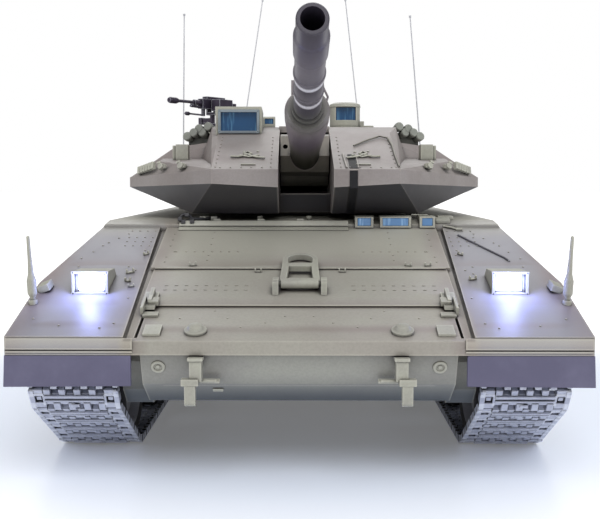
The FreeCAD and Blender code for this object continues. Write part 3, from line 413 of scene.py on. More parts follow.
def turret_airbrush_and_shade(s, tone):
    """Mauve mist by height on the front plates, and near-black painted shade on faces that point down."""
    height = s.math("DIVIDE", s.axes()[2], TURRET_HEIGHT)
    normal = s.node("NewGeometry").outputs["Normal"]
    down = s.math("MULTIPLY", s.node("SeparateXYZ", {0: normal}).outputs[2], -1.0)
    under = s.range(down, 0.12, 0.3)
    mauve = s.ramp(height, [(0.55, 0.0), (0.66, 0.05), (0.69, 0.5), (0.74, 0.35), (0.8, 0.15)])
    patch = s.range(s.noise(20.0, 3.0), 0.3, 0.7)
    tone = s.mix(s.math("MULTIPLY", mauve, patch), tone, srgb(118, 104, 104))
    # painted shade: faces that point down turn near-black
    return s.mix(s.math("MULTIPLY", under, 0.9), tone, srgb(30, 31, 38))


def belly_painted_shade(s, tone):
    """Painted shade: cooler and darker towards the underside of the tub."""
    return s.mix(s.inverse(s.range(s.axes()[2], 33 * MM, 50 * MM)), tone, srgb(70, 75, 80))


def mantlet_painted_shadow(s, tone):
    """Painted shadow: darker olive towards the underside of the gun's cradle."""
    return s.mix(s.inverse(s.range(s.axes()[2], 110 * MM, 138 * MM)), tone, srgb(72, 74, 68))


# The third colour of each paint is the painted shade of its crevices.
HULL = paint("armour_hull", srgb(152, 150, 140), srgb(149, 146, 137), CREVICE_SHADE, hull_airbrush_and_painted_light,
             roughness=0.5, edge=srgb(186, 182, 168))
TURRET = paint("armour_turret", srgb(140, 134, 131), srgb(129, 122, 119), CREVICE_SHADE, turret_airbrush_and_shade,
               roughness=0.52, edge=srgb(166, 160, 152))
PALE = paint("fitting_paint", srgb(160, 160, 147), srgb(148, 147, 138), srgb(50, 48, 44),
             roughness=0.5, edge=srgb(186, 185, 172), depth=2.0)
CUP = paint("cup_paint", srgb(130, 133, 124), srgb(118, 120, 114), srgb(26, 26, 28),
            roughness=0.5, edge=srgb(160, 162, 152), depth=3.0)
COOL = paint("cool_fitting", srgb(106, 116, 124), srgb(94, 104, 112), CREVICE_SHADE,
             roughness=0.5, edge=srgb(140, 150, 156))
LOWER = paint("armour_low", srgb(150, 150, 142), srgb(140, 139, 134), CREVICE_SHADE, belly_painted_shade,
              edge=srgb(172, 169, 159))
ARM = paint("arm_paint", srgb(112, 108, 100), srgb(98, 94, 88), srgb(30, 28, 26),
            roughness=0.6, edge=srgb(140, 136, 126))
MANTLET = paint("mantlet_paint", srgb(118, 112, 104), srgb(104, 100, 92), srgb(24, 22, 24), mantlet_painted_shadow,
                edge=srgb(150, 142, 136))


def rubber(name, base, second, roughness=0.75):
    """Matt moulded rubber or plastic with dusty patches and painted shade in its hollows."""
    s = Shader(name, Roughness=roughness)
    dust = s.range(s.noise(40.0, 5.0, 0.65), 0.35, 0.75)
    # painted shade: hollows turn near-black
    s.colour(s.shade_hollows(s.mix(dust, base, second), 3.0, 0.3, 0.95, (0.01, 0.01, 0.012)))
    s.bump(s.noise(1100.0, 3.0), 0.3, 0.05)
    return s.material


FLAP = rubber("flap_rubber", srgb(82, 80, 104), srgb(96, 94, 118), 0.62)
TYRE = rubber("tyre_rubber", srgb(40, 39, 42), srgb(62, 60, 60))
PLASTIC = rubber("dark_plastic", srgb(38, 38, 42), srgb(50, 50, 54), 0.5)


def steel(name, base, second, roughness=0.42, metallic=0.75, hollow_shade=(0.012, 0.012, 0.014), depth=1.6):
    """Metal with blotches, bright worn edges and painted shade in its gaps."""
    s = Shader(name, Metallic=metallic, Roughness=roughness)
    tone = s.mix(s.range(s.noise(120.0, 5.0, 0.7), 0.35, 0.7), base, second)
    tone = s.worn(tone, 0.5, 0.1, 0.6, srgb(225, 228, 236))
    # painted shade: gaps darken to the hollow shade
    s.colour(s.shade_hollows(tone, depth, 0.3, 0.9, hollow_shade))
    s.roughness(s.noise(300.0, 4.0, 0.6), roughness - 0.1, roughness + 0.15)
    s.bump(s.noise(700.0, 4.0), 0.25, 0.05)
    return s.material


TRACK = steel("track_metal", srgb(188, 192, 208), srgb(164, 168, 186), metallic=0.4)
GUNMETAL = steel("gun_black", srgb(58, 50, 66), srgb(44, 38, 52), metallic=0.45,
                 hollow_shade=(0.004, 0.004, 0.006), depth=0.8)
SCREW = steel("screw_steel", srgb(150, 150, 155), srgb(120, 120, 126), 0.35, 0.9)
WIRE = steel("antenna_wire", srgb(182, 182, 186), srgb(160, 160, 166), 0.4, 0.2)
MOTOR = steel("motor_metal", srgb(150, 150, 154), srgb(130, 130, 136), 0.35, 0.9)


def glass(name, deep, light, streaks):
    """Coated sight glass: deep tone with pale upright streaks of painted reflection, glossy face; the colour
    also glows faintly as painted light.
    """
    s = Shader(name, Roughness=0.08, Coat_Weight=0.6, Coat_Roughness=0.04, Emission_Strength=0.25)
    bands = s.node("Mapping", {"Vector": s.coords, "Scale": (1.0, 0.02, 0.08)}).outputs[0]
    # painted reflection: pale upright streaks across the glass
    streak = s.range(s.noise(streaks, 3.0, 0.6, bands), 0.52, 0.72)
    tone = s.mix(s.math("MULTIPLY", streak, 0.7), deep, light)
    s.colour(tone)
    # painted light: the glass glows with its own colour though it is no lamp
    s.glow(tone)
    return s.material


DEEP_GLASS = glass("sight_glass", srgb(22, 62, 98), srgb(104, 160, 192), 420.0)
CLEAR_GLASS = glass("periscope_glass", srgb(56, 104, 150), srgb(150, 190, 222), 300.0)


def lamp():
    """A lit lens with a cool cellular pattern."""
    s = Shader("lamp_lens", Roughness=0.1, Emission_Strength=4.0)
    cells = s.node("TexVoronoi", {"Vector": s.coords, "Scale": 900.0}).outputs["Distance"]
    tone = s.mix(s.range(cells, 0.1, 0.7), (1.0, 1.0, 1.0), (0.62, 0.72, 1.0))
    s.colour(tone)
    s.glow(tone)
    return s.material


def barrel_paint():
    """Airbrushed tube: dark muzzle, mauve-grey sleeve, two bright bands and an olive root that darkens
    towards the mantlet as painted shadow.
    """
    s = Shader("barrel_paint", Roughness=0.45)
    low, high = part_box("gun_barrel")
    along = s.math("DIVIDE", s.math("SUBTRACT", s.axes()[1], low.y), high.y - low.y)
    muzzle = [(0.0, srgb(50, 46, 58)), (0.05, srgb(62, 58, 72)), (0.12, srgb(84, 80, 92)),
              (0.20, srgb(102, 98, 106)), (0.272, srgb(92, 88, 98))]
    first_band = [(0.279, srgb(206, 205, 212)), (0.289, srgb(196, 195, 202)), (0.296, srgb(60, 56, 68))]
    sleeve = [(0.34, srgb(94, 90, 98)), (0.384, srgb(88, 84, 92))]
    second_band = [(0.391, srgb(212, 210, 216)), (0.402, srgb(198, 196, 202)), (0.409, srgb(56, 52, 64))]
    collar = [(0.45, srgb(58, 55, 65)), (0.50, srgb(92, 92, 86)), (0.54, srgb(110, 103, 106))]
    # painted shadow: the root darkens towards the mantlet, where the barrel runs into the turret's shade
    root = [(0.60, srgb(100, 91, 100)), (0.66, srgb(88, 79, 88)), (0.74, srgb(82, 77, 76)),
            (0.88, srgb(64, 64, 54))]
    tone = s.ramp(along, muzzle + first_band + sleeve + second_band + collar + root, "LINEAR")
    soot = s.range(s.noise(160.0, 4.0, 0.7), 0.4, 0.75)
    tone = s.mix(s.math("MULTIPLY", soot, 0.18), tone, srgb(50, 44, 48))
    # painted shade: hollows darken through the occlusion mask
    s.colour(s.shade_hollows(tone, 2.5, 0.3, 0.95, srgb(30, 27, 30)))
    s.bump(s.noise(500.0, 3.0), 0.2, 0.05)
    return s.material


LAMP = lamp()
BARREL = barrel_paint()


# ------------------------------------------------------------------ CAD nodes with their finish
def dress_nodes():
    """Every CAD node except the wheels, tracks and lamp lenses."""
    for name in ("upper_hull", "side_skirts", "driver_hatch", "rear_door"):
        finish_node(name, HULL, 0.35)
    finish_node("lower_hull", LOWER, 0.4)
    finish_node("turret_shell", TURRET, 0.45, angle=12)
    finish_node("turret_ring", ARM, 0.3)
    finish_node("turret_fittings", PALE, 0.25)
    finish_node("smoke_launchers", CUP, 0.15)
    finish_node("commander_hatch", TURRET, 0.25)
    finish_node("hull_fittings", PALE, 0.2, merge=False)
    finish_node("marker_rods", PALE, 0.0)
    finish_node("travel_lock", PALE, 0.3)
    finish_node("tow_hooks", PALE, 0.25)
    finish_node("mud_flaps", FLAP, 0.3)
    finish_node("gun_mantlet", MANTLET, 0.35)
    finish_node("gun_barrel", BARREL, 0.15)
    finish_node("mg_mount", GUNMETAL, 0.15)
    finish_node("machine_gun", GUNMETAL, 0.2)
    finish_node("antennas", WIRE, 0.0)
    finish_node("turret_basket", PALE, 0.0)
    finish_node("periscope_glass", CLEAR_GLASS, 0.0)
    finish_node("sight_glass", DEEP_GLASS, 0.0)
    finish_node("battery", PLASTIC, 0.6)
    finish_node("battery_cover", PLASTIC, 0.3)
    finish_node("electronics", PLASTIC, 0.2)
    finish_node("power_switch", PLASTIC, 0.2)
    finish_node("gear_motors", MOTOR, 0.3)
    finish_node("hull_screws", SCREW, 0.0)


TYRE_DEPTH = 3.4


def dress_wheels():
    """Painted discs with rubber tyres, steel sprockets and painted arms."""
    for side in ("left", "right"):
        for name in ["idler_" + side] + ["wheel_%s_%d" % (side, i) for i in WHEELS]:
            low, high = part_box(name)
            middle = (low + high) / 2
            rim = (high.z - low.z) / 2 - TYRE_DEPTH * MM

            def on_tyre(centre, middle=middle, rim=rim):
                return math.hypot(centre.y - middle.y, centre.z - middle.z) > rim
            finish_node(name, HULL, 0.3, second=(TYRE, on_tyre))
        finish_node("sprocket_" + side, TRACK, 0.3)
        for i in WHEELS:
            finish_node("arm_%s_%d" % (side, i), ARM, 0.3)


dress_nodes()
dress_wheels()


# ------------------------------------------------------------------ tracks
LINK_PITCH = 11.6
LINK_THICK = 4.4
LINK_GAP = 0.3
DRUM_R = 19.0


def belt_circles(side):
    """(y, z, radius) in millimetres of the circles that the links' middle line wraps, in running order."""
    circles = []
    for name in ("sprocket_" + side, "wheel_%s_1" % side, "wheel_%s_6" % side, "idler_" + side):
        low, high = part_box(name)
        middle = (low + high) / (2 * MM)
        radius = (high.z - low.z) / (2 * MM) if name.startswith("wheel") else DRUM_R
        circles.append((middle.y, middle.z, radius + LINK_GAP + LINK_THICK / 2))
    return circles


def belt_runs(circles):
    """(length, place at a distance) of each arc and straight of the belt, as millimetres and radians."""
    turns = []
    for (y0, z0, r0), (y1, z1, r1) in zip(circles, circles[1:] + circles[:1]):
        lean = math.asin((r0 - r1) / math.hypot(y1 - y0, z1 - z0))
        turns.append(math.atan2(z1 - z0, y1 - y0) - math.pi / 2 + lean)
    runs = []
    for i, (y, z, r) in enumerate(circles):
        y1, z1, r1 = circles[(i + 1) % len(circles)]
        start, end = turns[i - 1], turns[i]

        def on_arc(d, y=y, z=z, r=r, start=start):
            angle = start + d / r
            return y + r * math.cos(angle), z + r * math.sin(angle), angle + math.pi / 2
        runs.append(((end - start) % (2 * math.pi) * r, on_arc))
        a = (y + r * math.cos(end), z + r * math.sin(end))
        b = (y1 + r1 * math.cos(end), z1 + r1 * math.sin(end))
        length = math.hypot(b[0] - a[0], b[1] - a[1])

        def on_straight(d, a=a, b=b, length=length):
            share = d / length
            heading = math.atan2(b[1] - a[1], b[0] - a[0])
            return a[0] + (b[0] - a[0]) * share, a[1] + (b[1] - a[1]) * share, heading
        runs.append((length, on_straight))
    return runs


def belt_spots(circles):
    """(y, z, heading) of each link round the belt, and the links' exact pitch."""
    runs = belt_runs(circles)
    total = sum(length for length, spot in runs)
    count = round(total / LINK_PITCH)
    spots = []
    for i in range(count):
        distance = total * i / count
        for length, spot in runs:
            if distance <= length:
                spots.append(spot(distance))
                break
            distance -= length
    return spots, total / count


LINK_BEVEL = 0.22
TEETH = 8
TOOTH_STEP = 3.2


def link_blocks(half):
    """The (size, offset) boxes of one link: across, along the belt, up from the tread."""
    yield (25.4, 6.4, 2.8), (0, 0, 0.6)
    yield (25.0, 1.2, 1.4), (0, -2.5, -1.5)
    yield (25.0, 1.1, 1.3), (0, 0.2, -1.5)
    yield (25.0, 1.3, 0.8), (0, -1.1, -1.0)
    yield (3.2, 5.0, 4.8), (0, 0, 4.2)
    yield (3.4, 1.8, 0.9), (0, 3.0, -1.6)
    for side in SIDES:
        yield (6.4, 1.6, 3.2), (side * 15.8, -2.9, 0.3)
        yield (6.4, 3.0, 3.2), (side * 15.8, 3.2, 0.3)
        yield (2.2, 2 * half - 0.7, 3.4), (side * 17.9, 0, 0.2)
        yield (1.2, 6.0, 3.2), (side * 12.9, 0, 0.2)
        yield (2.4, 2.2, 2.4), (side * 15.2, -0.2, 0.6)
        yield (5.4, half - 3.2, 3.0), (side * 15.6, -(half + 3) / 2, 0.4)
    for i in range(TEETH):
        x = (i - (TEETH - 1) / 2) * TOOTH_STEP
        side = 1 if i % 2 else -1
        yield (2.8, half - 1.6, 3.2), (x, side * (half + 2.2) / 2, 0.1)


def link_mesh(pitch):
    """One cast link, tread down: grooved bar, drain windows with nuts, toothed hinge seam, guide horn."""
    bm = bmesh.new()
    for size, offset in link_blocks(pitch / 2):
        scale = Matrix.Diagonal(Vector(size) * MM).to_4x4()
        made = bmesh.ops.create_cube(bm, size=1.0, matrix=Matrix.Translation(Vector(offset) * MM) @ scale)
        sharpen(bm, {f for v in made["verts"] for f in v.link_faces}, LINK_BEVEL, 1)
    mesh = bpy.data.meshes.new("link")
    bm.to_mesh(mesh)
    bm.free()
    return mesh


def track(side):
    """Separate cast links round the belt stand for the CAD's plain ones."""
    low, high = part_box("track_" + side)
    middle = (low.x + high.x) / 2
    spots, pitch = belt_spots(belt_circles(side))
    pattern = link_mesh(pitch)
    bm = bmesh.new()
    for y, z, heading in spots:
        known = len(bm.verts)
        bm.from_mesh(pattern)
        bm.verts.ensure_lookup_table()
        place = Matrix.Translation((middle, y * MM, z * MM)) @ Matrix.Rotation(heading, 4, "X")
        bmesh.ops.transform(bm, matrix=place, verts=bm.verts[known:])
    bpy.data.meshes.remove(pattern)
    thing = piece("track_links_" + side, bm, TRACK, "root")
    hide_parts("track_" + side)


# ------------------------------------------------------------------ hull details
def both(x):
    """The same distance to the left and to the right."""
    return (-x, x)


def hull_seams():
    """The fenders' front strips with a light lower edge, and thin ridge beads across the glacis."""
    bm = bmesh.new()
    for x in both(91.8):
        block(bm, facing(at(x, -0.2, 61.6), (0, -1, 0.05)), (51.0, 4.6, 1.0), 0.3)
        block(bm, facing(at(x, 0.0, 58.4), (0, -1, -0.1)), (51.0, 0.8, 1.2), 0.3)
    for station, half, lift in ((30.8, 66.6, 0.7), (68.8, 68.0, 1.5)):
        tube(bm, [on_glacis(x, station, lift) for x in (-half, 0, half)], 0.32, 8)
    piece("hull_seams", bm, HULL, "root")


def top_strip():
    """The pale edging strip along the top of the glacis."""
    bm = bmesh.new()
    block(bm, facing(on_glacis(-19.5, 119.2, 1.9), GLACIS_UP), (88.0, 4.4, 0.7), 0.25)
    block(bm, facing(at(-19.5, 121.5, 104.0), (0, -0.9, 0.5)), (88.0, 3.0, 0.8), 0.25)
    piece("glacis_top_strip", bm, PALE, "root")


def hull_rivets():
    """Rivet rows and clusters on the glacis and fenders."""
    bm = bmesh.new()
    scattered = ((77.5, 57), (79.5, 62), (76.5, 66), (80.5, 70), (74.8, 84), (76, 90), (101, 88),
                 (105, 80), (98, 96), (104, 70), (92, 66), (96, 100), (92, 106), (88, 112),
                 (74.5, 36), (76, 12), (81, 8), (98, 10), (110, 16))

    def spot(x, station, lift, radius=0.42):
        rivet(bm, facing(on_glacis(x, station, lift), GLACIS_UP), radius)
    for side in SIDES:
        for x in [61.5, 60.6] + [60 - 4.2 * i for i in range(1, 8)]:
            spot(side * x, 88.5, 1.7)
        for x in (75.0, 79.0, 83.0, 87.0):
            for station in (96.0, 101.5, 107.0, 116.0):
                spot(side * x, station, 1.8, 0.38)
        for x, station in scattered:
            spot(side * x, station, 1.8, 0.45)
        for station in (76, 82, 96, 104, 112):
            spot(side * 64.5, station, 1.7)
            spot(side * 44.5, station + 2, 1.7, 0.35)
        for x, station in ((30, 20), (14, 16), (6, 22), (24, 12), (50, 20), (36, 27)):
            spot(side * x, station, 0.0, 0.4)
    piece("hull_rivets", bm, HULL, "root")


def dash_rows():
    """Two rows of short raised dashes on the middle glacis plate."""
    bm = bmesh.new()
    for side in SIDES:
        for station in (46.2, 50.8):
            for i in range(9):
                place = facing(on_glacis(side * (24.0 + 4.5 * i), station, 0.9), GLACIS_UP)
                block(bm, place, (1.5, 0.5, 0.5), 0.15)
    piece("dash_rows", bm, HULL, "root")


def glacis_brackets():
    """Small hooks, clips and plates standing on the glacis and fenders."""
    bm = bmesh.new()

    def clip(x, station, lift, size, turn):
        place = facing(on_glacis(x, station, lift), GLACIS_UP) @ Matrix.Rotation(turn, 4, "Z")
        block(bm, place, (size * 1.5, size * 0.5, 0.7), 0.15, (0, 0, 0.35))
        for end in SIDES:
            block(bm, place, (0.6, size * 0.5, size * 0.8), 0.15, (end * size * 0.6, 0, size * 0.4))
    for x, station, lift, size, turn in ((-50.5, 71.5, 1.7, 2.4, 0.2), (50.6, 71.5, 1.7, 2.2, -0.2),
                                         (59.8, 71.5, 1.7, 2.2, 0.1), (-19.5, 66, 0.9, 2.2, 0.0),
                                         (19.5, 66, 0.9, 2.2, 0.0), (-78.4, 62.8, 1.8, 2.6, 0.5),
                                         (-77.8, 53.2, 1.8, 2.0, -0.4), (78.2, 55.5, 1.8, 2.4, 0.3),
                                         (-75.2, 47.6, 1.8, 1.8, 0.2), (-74.6, 84.5, 1.8, 2.0, 0.8),
                                         (77.0, 84.5, 1.8, 2.0, -0.8)):
        clip(x, station, lift, size, turn)
    for side in SIDES:
        block(bm, facing(at(side * 112.6, 44, 79.6), (side * 0.4, -0.2, 1)), (5.0, 8.0, 3.2), 0.4)
        block(bm, facing(on_glacis(side * 62.6, 31.5, 2.3), GLACIS_UP), (4.6, 5.0, 2.4), 0.4)
        block(bm, facing(on_glacis(side * 62.6, 22.5, 0.2), GLACIS_UP), (6.6, 3.6, 2.0), 0.4)
        block(bm, facing(on_glacis(side * 66.2, 27.5, 2.2), GLACIS_UP), (1.2, 12.0, 4.0), 0.3)
        for x in (46.0, 52.0):
            block(bm, facing(at(side * x, 127.5, DECK_Z + 1.0), UP), (3.2, 2.4, 2.0), 0.4)
    for x in (-44.0, -21.0, -0.5):
        block(bm, facing(at(x, 123.5, 105.2), UP), (3.6, 2.4, 2.4), 0.4)
    piece("glacis_brackets", bm, PALE, "root")


def cable_end():
    """The dark shackle and clamp of a tow cable at the deck's left edge, with the cable's thimble."""
    bm = bmesh.new()
    ring = [at(-60.5 + 2.6 * math.cos(a), 123.6 + 1.2 * math.cos(a), 106.9 + 1.7 * math.sin(a))
            for a in (2 * math.pi * i / 20 for i in range(20))]
    tube(bm, ring, 0.8, 8, closed=True)
    tube(bm, [at(-58.5, 124, 106.4), at(-54, 125, 106.1), at(-49, 128, 106.3), at(-44, 132, 106.5)], 0.8, 10)
    for x, z in ((-63.2, 106.2), (-61.5, 104.8), (-56.9, 105.0), (-59.6, 108.4)):
        block(bm, facing(at(x, 121.4, z), (0, -1, 0.3)), (2.2, 2.0, 1.6), 0.3)
    piece("cable_end", bm, PLASTIC, "root")


def fender_conduit():
    """A thin wiring conduit from the deck corner to the right lamp."""
    bm = bmesh.new()
    line = [(79.7, 110.0), (86.0, 99.5), (92.0, 89.5), (97.5, 80.5), (99.0, 76.5)]
    tube(bm, [on_glacis(x, station, 2.0) for x, station in line], 0.5, 8)
    piece("fender_conduit", bm, GUNMETAL, "root")


def nose_fittings():
    """Ring bosses, small tabs and a cross bead on the lower nose plate."""
    bm = bmesh.new()
    ring = [(2.9, -0.6), (2.9, 0.5), (2.5, 0.8), (1.9, 0.8), (1.6, 0.3), (0, 0.3)]
    for x in both(57.0):
        lathe(bm, facing(at(x, 5.6, 51.4), (0, -1, -0.45)), ring, 28)
        rivet(bm, facing(at(x, 5.4, 51.5), (0, -1, -0.45)), 1.0, 0.7, 12)
    for x in both(36.0):
        block(bm, facing(at(x, 5.0, 45.6), (0, -1, -0.4)), (8.0, 1.0, 2.4), 0.3)
    block(bm, facing(at(-33.5, 13.5, 40.4), (0, -1, -0.7)), (4.4, 1.8, 1.6), 0.5)
    block(bm, facing(at(0, 11.2, 43.8), (0, -1, -0.5)), (112.0, 1.4, 1.6), 0.5)
    piece("nose_fittings", bm, PALE, "root")


def skirt_details():
    """Bolt rows and grab handles on both skirts."""
    bolts, handles = bmesh.new(), bmesh.new()
    low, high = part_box("side_skirts")
    for side, face in ((-1, low.x), (1, high.x)):
        across = face / MM
        outward = Vector((side, 0, 0))
        for i in range(11):
            for z in (74.5, 47.0):
                rivet(bolts, facing(at(across, 92 + 35.5 * i, z), outward, AFT), 0.9, 0.6)
        for i in range(5):
            station, out = 128 + 71.0 * i, across + side * 1.5
            loop = ((across, station - 5), (out, station - 5), (out, station + 5), (across, station + 5))
            tube(handles, [at(x, along, 66) for x, along in loop], 0.5, 8)
    piece("skirt_bolts", bolts, HULL, "root")
    piece("skirt_handles", handles, PALE, "root")


def side_outlet():
    """A louvred exhaust outlet on the sloped sponson side."""
    bm = bmesh.new()
    lean = Vector((25, 0, 16.5)).normalized()
    for i in range(7):
        block(bm, facing(at(109.6, 168 + 5.4 * i, 92.6), lean, AFT), (1.6, 15.0, 2.0), 0.4)
    for station in (163.0, 205.5):
        block(bm, facing(at(109.6, station, 92.6), lean, AFT), (1.8, 18.0, 2.2), 0.4)
    for x, z in ((114.9, 84.7), (104.4, 100.6)):
        block(bm, facing(at(x, 184.2, z), lean, AFT), (44.0, 1.6, 2.2), 0.4)
    piece("side_outlet", bm, ARM, "root")


def deck_details():
    """Panels with bolts, filler caps and lifting loops on the rear deck."""
    bm, loops = bmesh.new(), bmesh.new()
    cap = [(6.5, -0.2), (6.5, 1.2), (5.6, 1.8), (0, 1.8)]
    for side in SIDES:
        block(bm, facing(at(side * 62, 380, DECK_Z), UP), (46.0, 58.0, 0.9), 0.4)
        block(bm, facing(at(side * 62, 380, DECK_Z + 0.5), UP), (38.0, 50.0, 0.9), 0.4)
        for dx in (-20, 20):
            for station in (355, 380, 405):
                rivet(bm, facing(at(side * 62 + dx, station, DECK_Z + 0.4), UP), 0.9, 0.6)
        lathe(bm, facing(at(side * 84, 318, DECK_Z), UP), cap, 28)
        loop = ((92, -1), (92, 3.5), (84, 3.5), (84, -1))
        tube(loops, [at(side * x, 448, DECK_Z + lift) for x, lift in loop], 0.8, 8)
    piece("deck_panels", bm, HULL, "root")
    piece("deck_loops", loops, PALE, "root")


def rear_details():
    """Ribs on the rear boxes, tail lamps and the door's frame bolts."""
    bm = bmesh.new()
    back = (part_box("upper_hull")[1].y - FRONT) / MM
    tail_lamp = [(3.4, -0.4), (3.4, 1.8), (2.8, 2.4), (0, 2.4)]
    for side in SIDES:
        for i in range(4):
            block(bm, facing(at(side * 87, back + 2.6, 79 + 3.4 * i), AFT), (16.0, 1.2, 1.4), 0.3)
        lathe(bm, facing(at(side * 105, back, 70), AFT), tail_lamp, 24)
        for z in (58, 66, 74, 82, 90):
            rivet(bm, facing(at(side * 24.0, back, z), AFT), 0.9, 0.6)
    piece("rear_ribs", bm, PALE, "root")


def window_frame(bm, centre, spread, lengths, thick, depth, bevel):
    """Two level and two upright bars round a window that faces ahead.

    spread is the distance between the bars' middle lines, across and up; lengths are those of
    the level and the upright bars.
    """
    x, station, z = centre
    for side in (1, -1):
        place = facing(at(x, station, z + side * spread[1] / 2), AHEAD)
        block(bm, place, (lengths[0], thick, depth), bevel)
    for side in SIDES:
        place = facing(at(x + side * spread[0] / 2, station, z), AHEAD)
        block(bm, place, (thick, lengths[1], depth), bevel)


def sight_bezel():
    """Cool grey inner frame round the box sight's window."""
    bm = bmesh.new()
    window_frame(bm, (-36.75, 162.6, 159.15), (21.6, 11.8), (22.8, 12.4), 1.5, 1.6, 0.25)
    piece("sight_bezel", bm, COOL, "turret", turret=True)


def lamp_height():
    """The height of the lamp lenses' middle and their full height, in millimetres."""
    low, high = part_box("headlight_lenses")
    return (low.z + high.z) / (2 * MM), (high.z - low.z) / MM


def lamp_lenses():
    """Two glowing lens slabs in the lamp boxes' mouths; they stand for the CAD lenses."""
    middle, height = lamp_height()
    bm = bmesh.new()
    for x in both(LAMP_X):
        block(bm, facing(at(x, 44.2, middle), AHEAD), (11.4, height - 0.2, 3.0), 0.4)
    lenses = piece("lamp_lenses", bm, LAMP, "root")
    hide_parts("headlight_lenses")


def lamp_frames():
    """Bezels round the two headlamps with a small lip below."""
    middle, _ = lamp_height()
    bm = bmesh.new()
    for x in both(LAMP_X):
        window_frame(bm, (x, 40.2, middle), (14.8, 9.2), (16.4, 10.2), 1.2, 1.8, 0.3)
        block(bm, facing(at(x, 40.6, middle - 6.4), (0, -1, 0.3)), (11.0, 1.6, 1.4), 0.3)
    piece("lamp_bezels", bm, PALE, "root")


def wiper():
    """The wiper block beside the periscopes, its arm, and the thin wire guard above."""
    bm = bmesh.new()
    block(bm, facing(at(73.8, 124, 105.4), (0, -0.3, 1)), (7.6, 5.0, 2.4), 0.5)
    tube(bm, [at(74, 121, 102.8), at(78, 118.5, 102.1), at(81.0, 116.5, 101.0)], 0.6, 8)
    block(bm, facing(at(81.4, 116.4, 101.2), GLACIS_UP), (3.4, 1.8, 1.4), 0.4)
    guard = [at(58.0, 127, 105.8), at(58.0, 127, 108.4), at(66.5, 127, 108.4), at(66.5, 127, 105.8)]
    tube(bm, guard, 0.25, 8)
    piece("wiper_and_guard", bm, PALE, "root")


# ------------------------------------------------------------------ turret details
CHEEK_START, CHEEK_LOW = 100.0, 132.0
CHEEK_SLOPE = (153.0 - CHEEK_LOW) / (165.0 - CHEEK_START)
CHEEK_UP = Vector((0, -CHEEK_SLOPE, 1)).normalized()


def on_cheek(x, station, lift=0.0):
    """A point on the sloped front plate of a turret cheek."""
    return at(x, station, CHEEK_LOW + CHEEK_SLOPE * (station - CHEEK_START)) + CHEEK_UP * (lift * MM)


def lifting_eyes():
    """Twisted-wire lifting loops on both cheeks with their clips and a rib below."""
    bm = bmesh.new()
    twist = ((-8, -3.4), (-4, -2.4), (0, 0.6), (3, 4.0), (1, 6.5), (-1, 3.6), (2.5, 0.2), (6, -1.6),
             (9.5, -1.0))
    saddle = ((-5, 1.0), (0, -1.6), (5, 0.8))
    for side in SIDES:
        x = side * 29.0
        tube(bm, [on_cheek(x + side * dx, 120 + along, 0.7) for dx, along in twist], 0.55, 8)
        tube(bm, [on_cheek(x + side * dx, 120 + along, 0.6) for dx, along in saddle], 0.5, 8)
        block(bm, facing(on_cheek(x, 106.5, 0.3), CHEEK_UP), (7.5, 0.7, 0.8), 0.2)
        rivet(bm, facing(on_cheek(x - 3, 128, 0), CHEEK_UP), 0.7, 0.7)
        rivet(bm, facing(on_cheek(x + 4, 129, 0), CHEEK_UP), 0.7, 0.7)
    piece("lifting_eyes", bm, PALE, "turret", turret=True)


def turret_bolts():
    """Bolt rows along the cheek plates' edges and the roof."""
    bm = bmesh.new()
    for side in SIDES:
        for i in range(9):
            for x in (45.2, 17.5):
                rivet(bm, facing(on_cheek(side * x, 103 + 6.6 * i), CHEEK_UP), 0.45, 0.4)
        for i in range(5):
            rivet(bm, facing(on_cheek(side * (22 + 5.2 * i), 102.4), CHEEK_UP), 0.45, 0.4)
        for x in (20, 30, 40):
            for station in (200, 226, 300):
                rivet(bm, facing(at(side * x, station, ROOF_Z), UP), 0.6, 0.4)
    piece("turret_bolts", bm, TURRET, "turret", turret=True)


def wing_fittings():
    """The fluted rail and two small lamps on each wing's front face."""
    bm = bmesh.new()
    lens = [(1.7, 0), (1.7, 0.9), (1.2, 1.1), (0, 0.9)]
    for side in SIDES:
        face = (side * 0.55, -0.75, 0.35)
        for x, station in ((64.5, 127.0), (77.5, 146.5)):
            place = facing(at(side * x, station, 133.6), face)
            block(bm, place, (4.2, 2.6, 2.4), 0.4)
            lathe(bm, place @ Matrix.Translation((0, 0, 1.2 * MM)), lens, 16)
            hood = facing(at(side * (x + 2.4), station + 3.4, 136.0), (side * 0.5, -0.7, 0.5))
            block(bm, hood, (2.2, 1.4, 1.2), 0.3)
        for i in range(6):
            rib = at(side * (84.0 + 1.9 * i), 155.6 + 2.8 * i, 134.4 - 0.5 * i)
            block(bm, facing(rib, face), (2.0, 4.4, 2.6), 0.5)
    piece("wing_fittings", bm, PALE, "turret", turret=True)


def cheek_cable():
    """A thin cable over the right cheek plate and down beside its edge."""
    bm = bmesh.new()
    route = ((26.0, 138, 0.7), (33.0, 147, 0.8), (41.0, 155, 0.9), (45.5, 152, 0.8), (46.6, 140, 0.6),
             (46.4, 120, 0.5), (46.6, 103, 0.5))
    tube(bm, [on_cheek(*spot) for spot in route], 0.45, 8)
    piece("cheek_cable", bm, ARM, "turret", turret=True)


RECESS_X = 23.8
RECESS_HALF = 2.0
RECESS_STRIP_THICK = 0.6


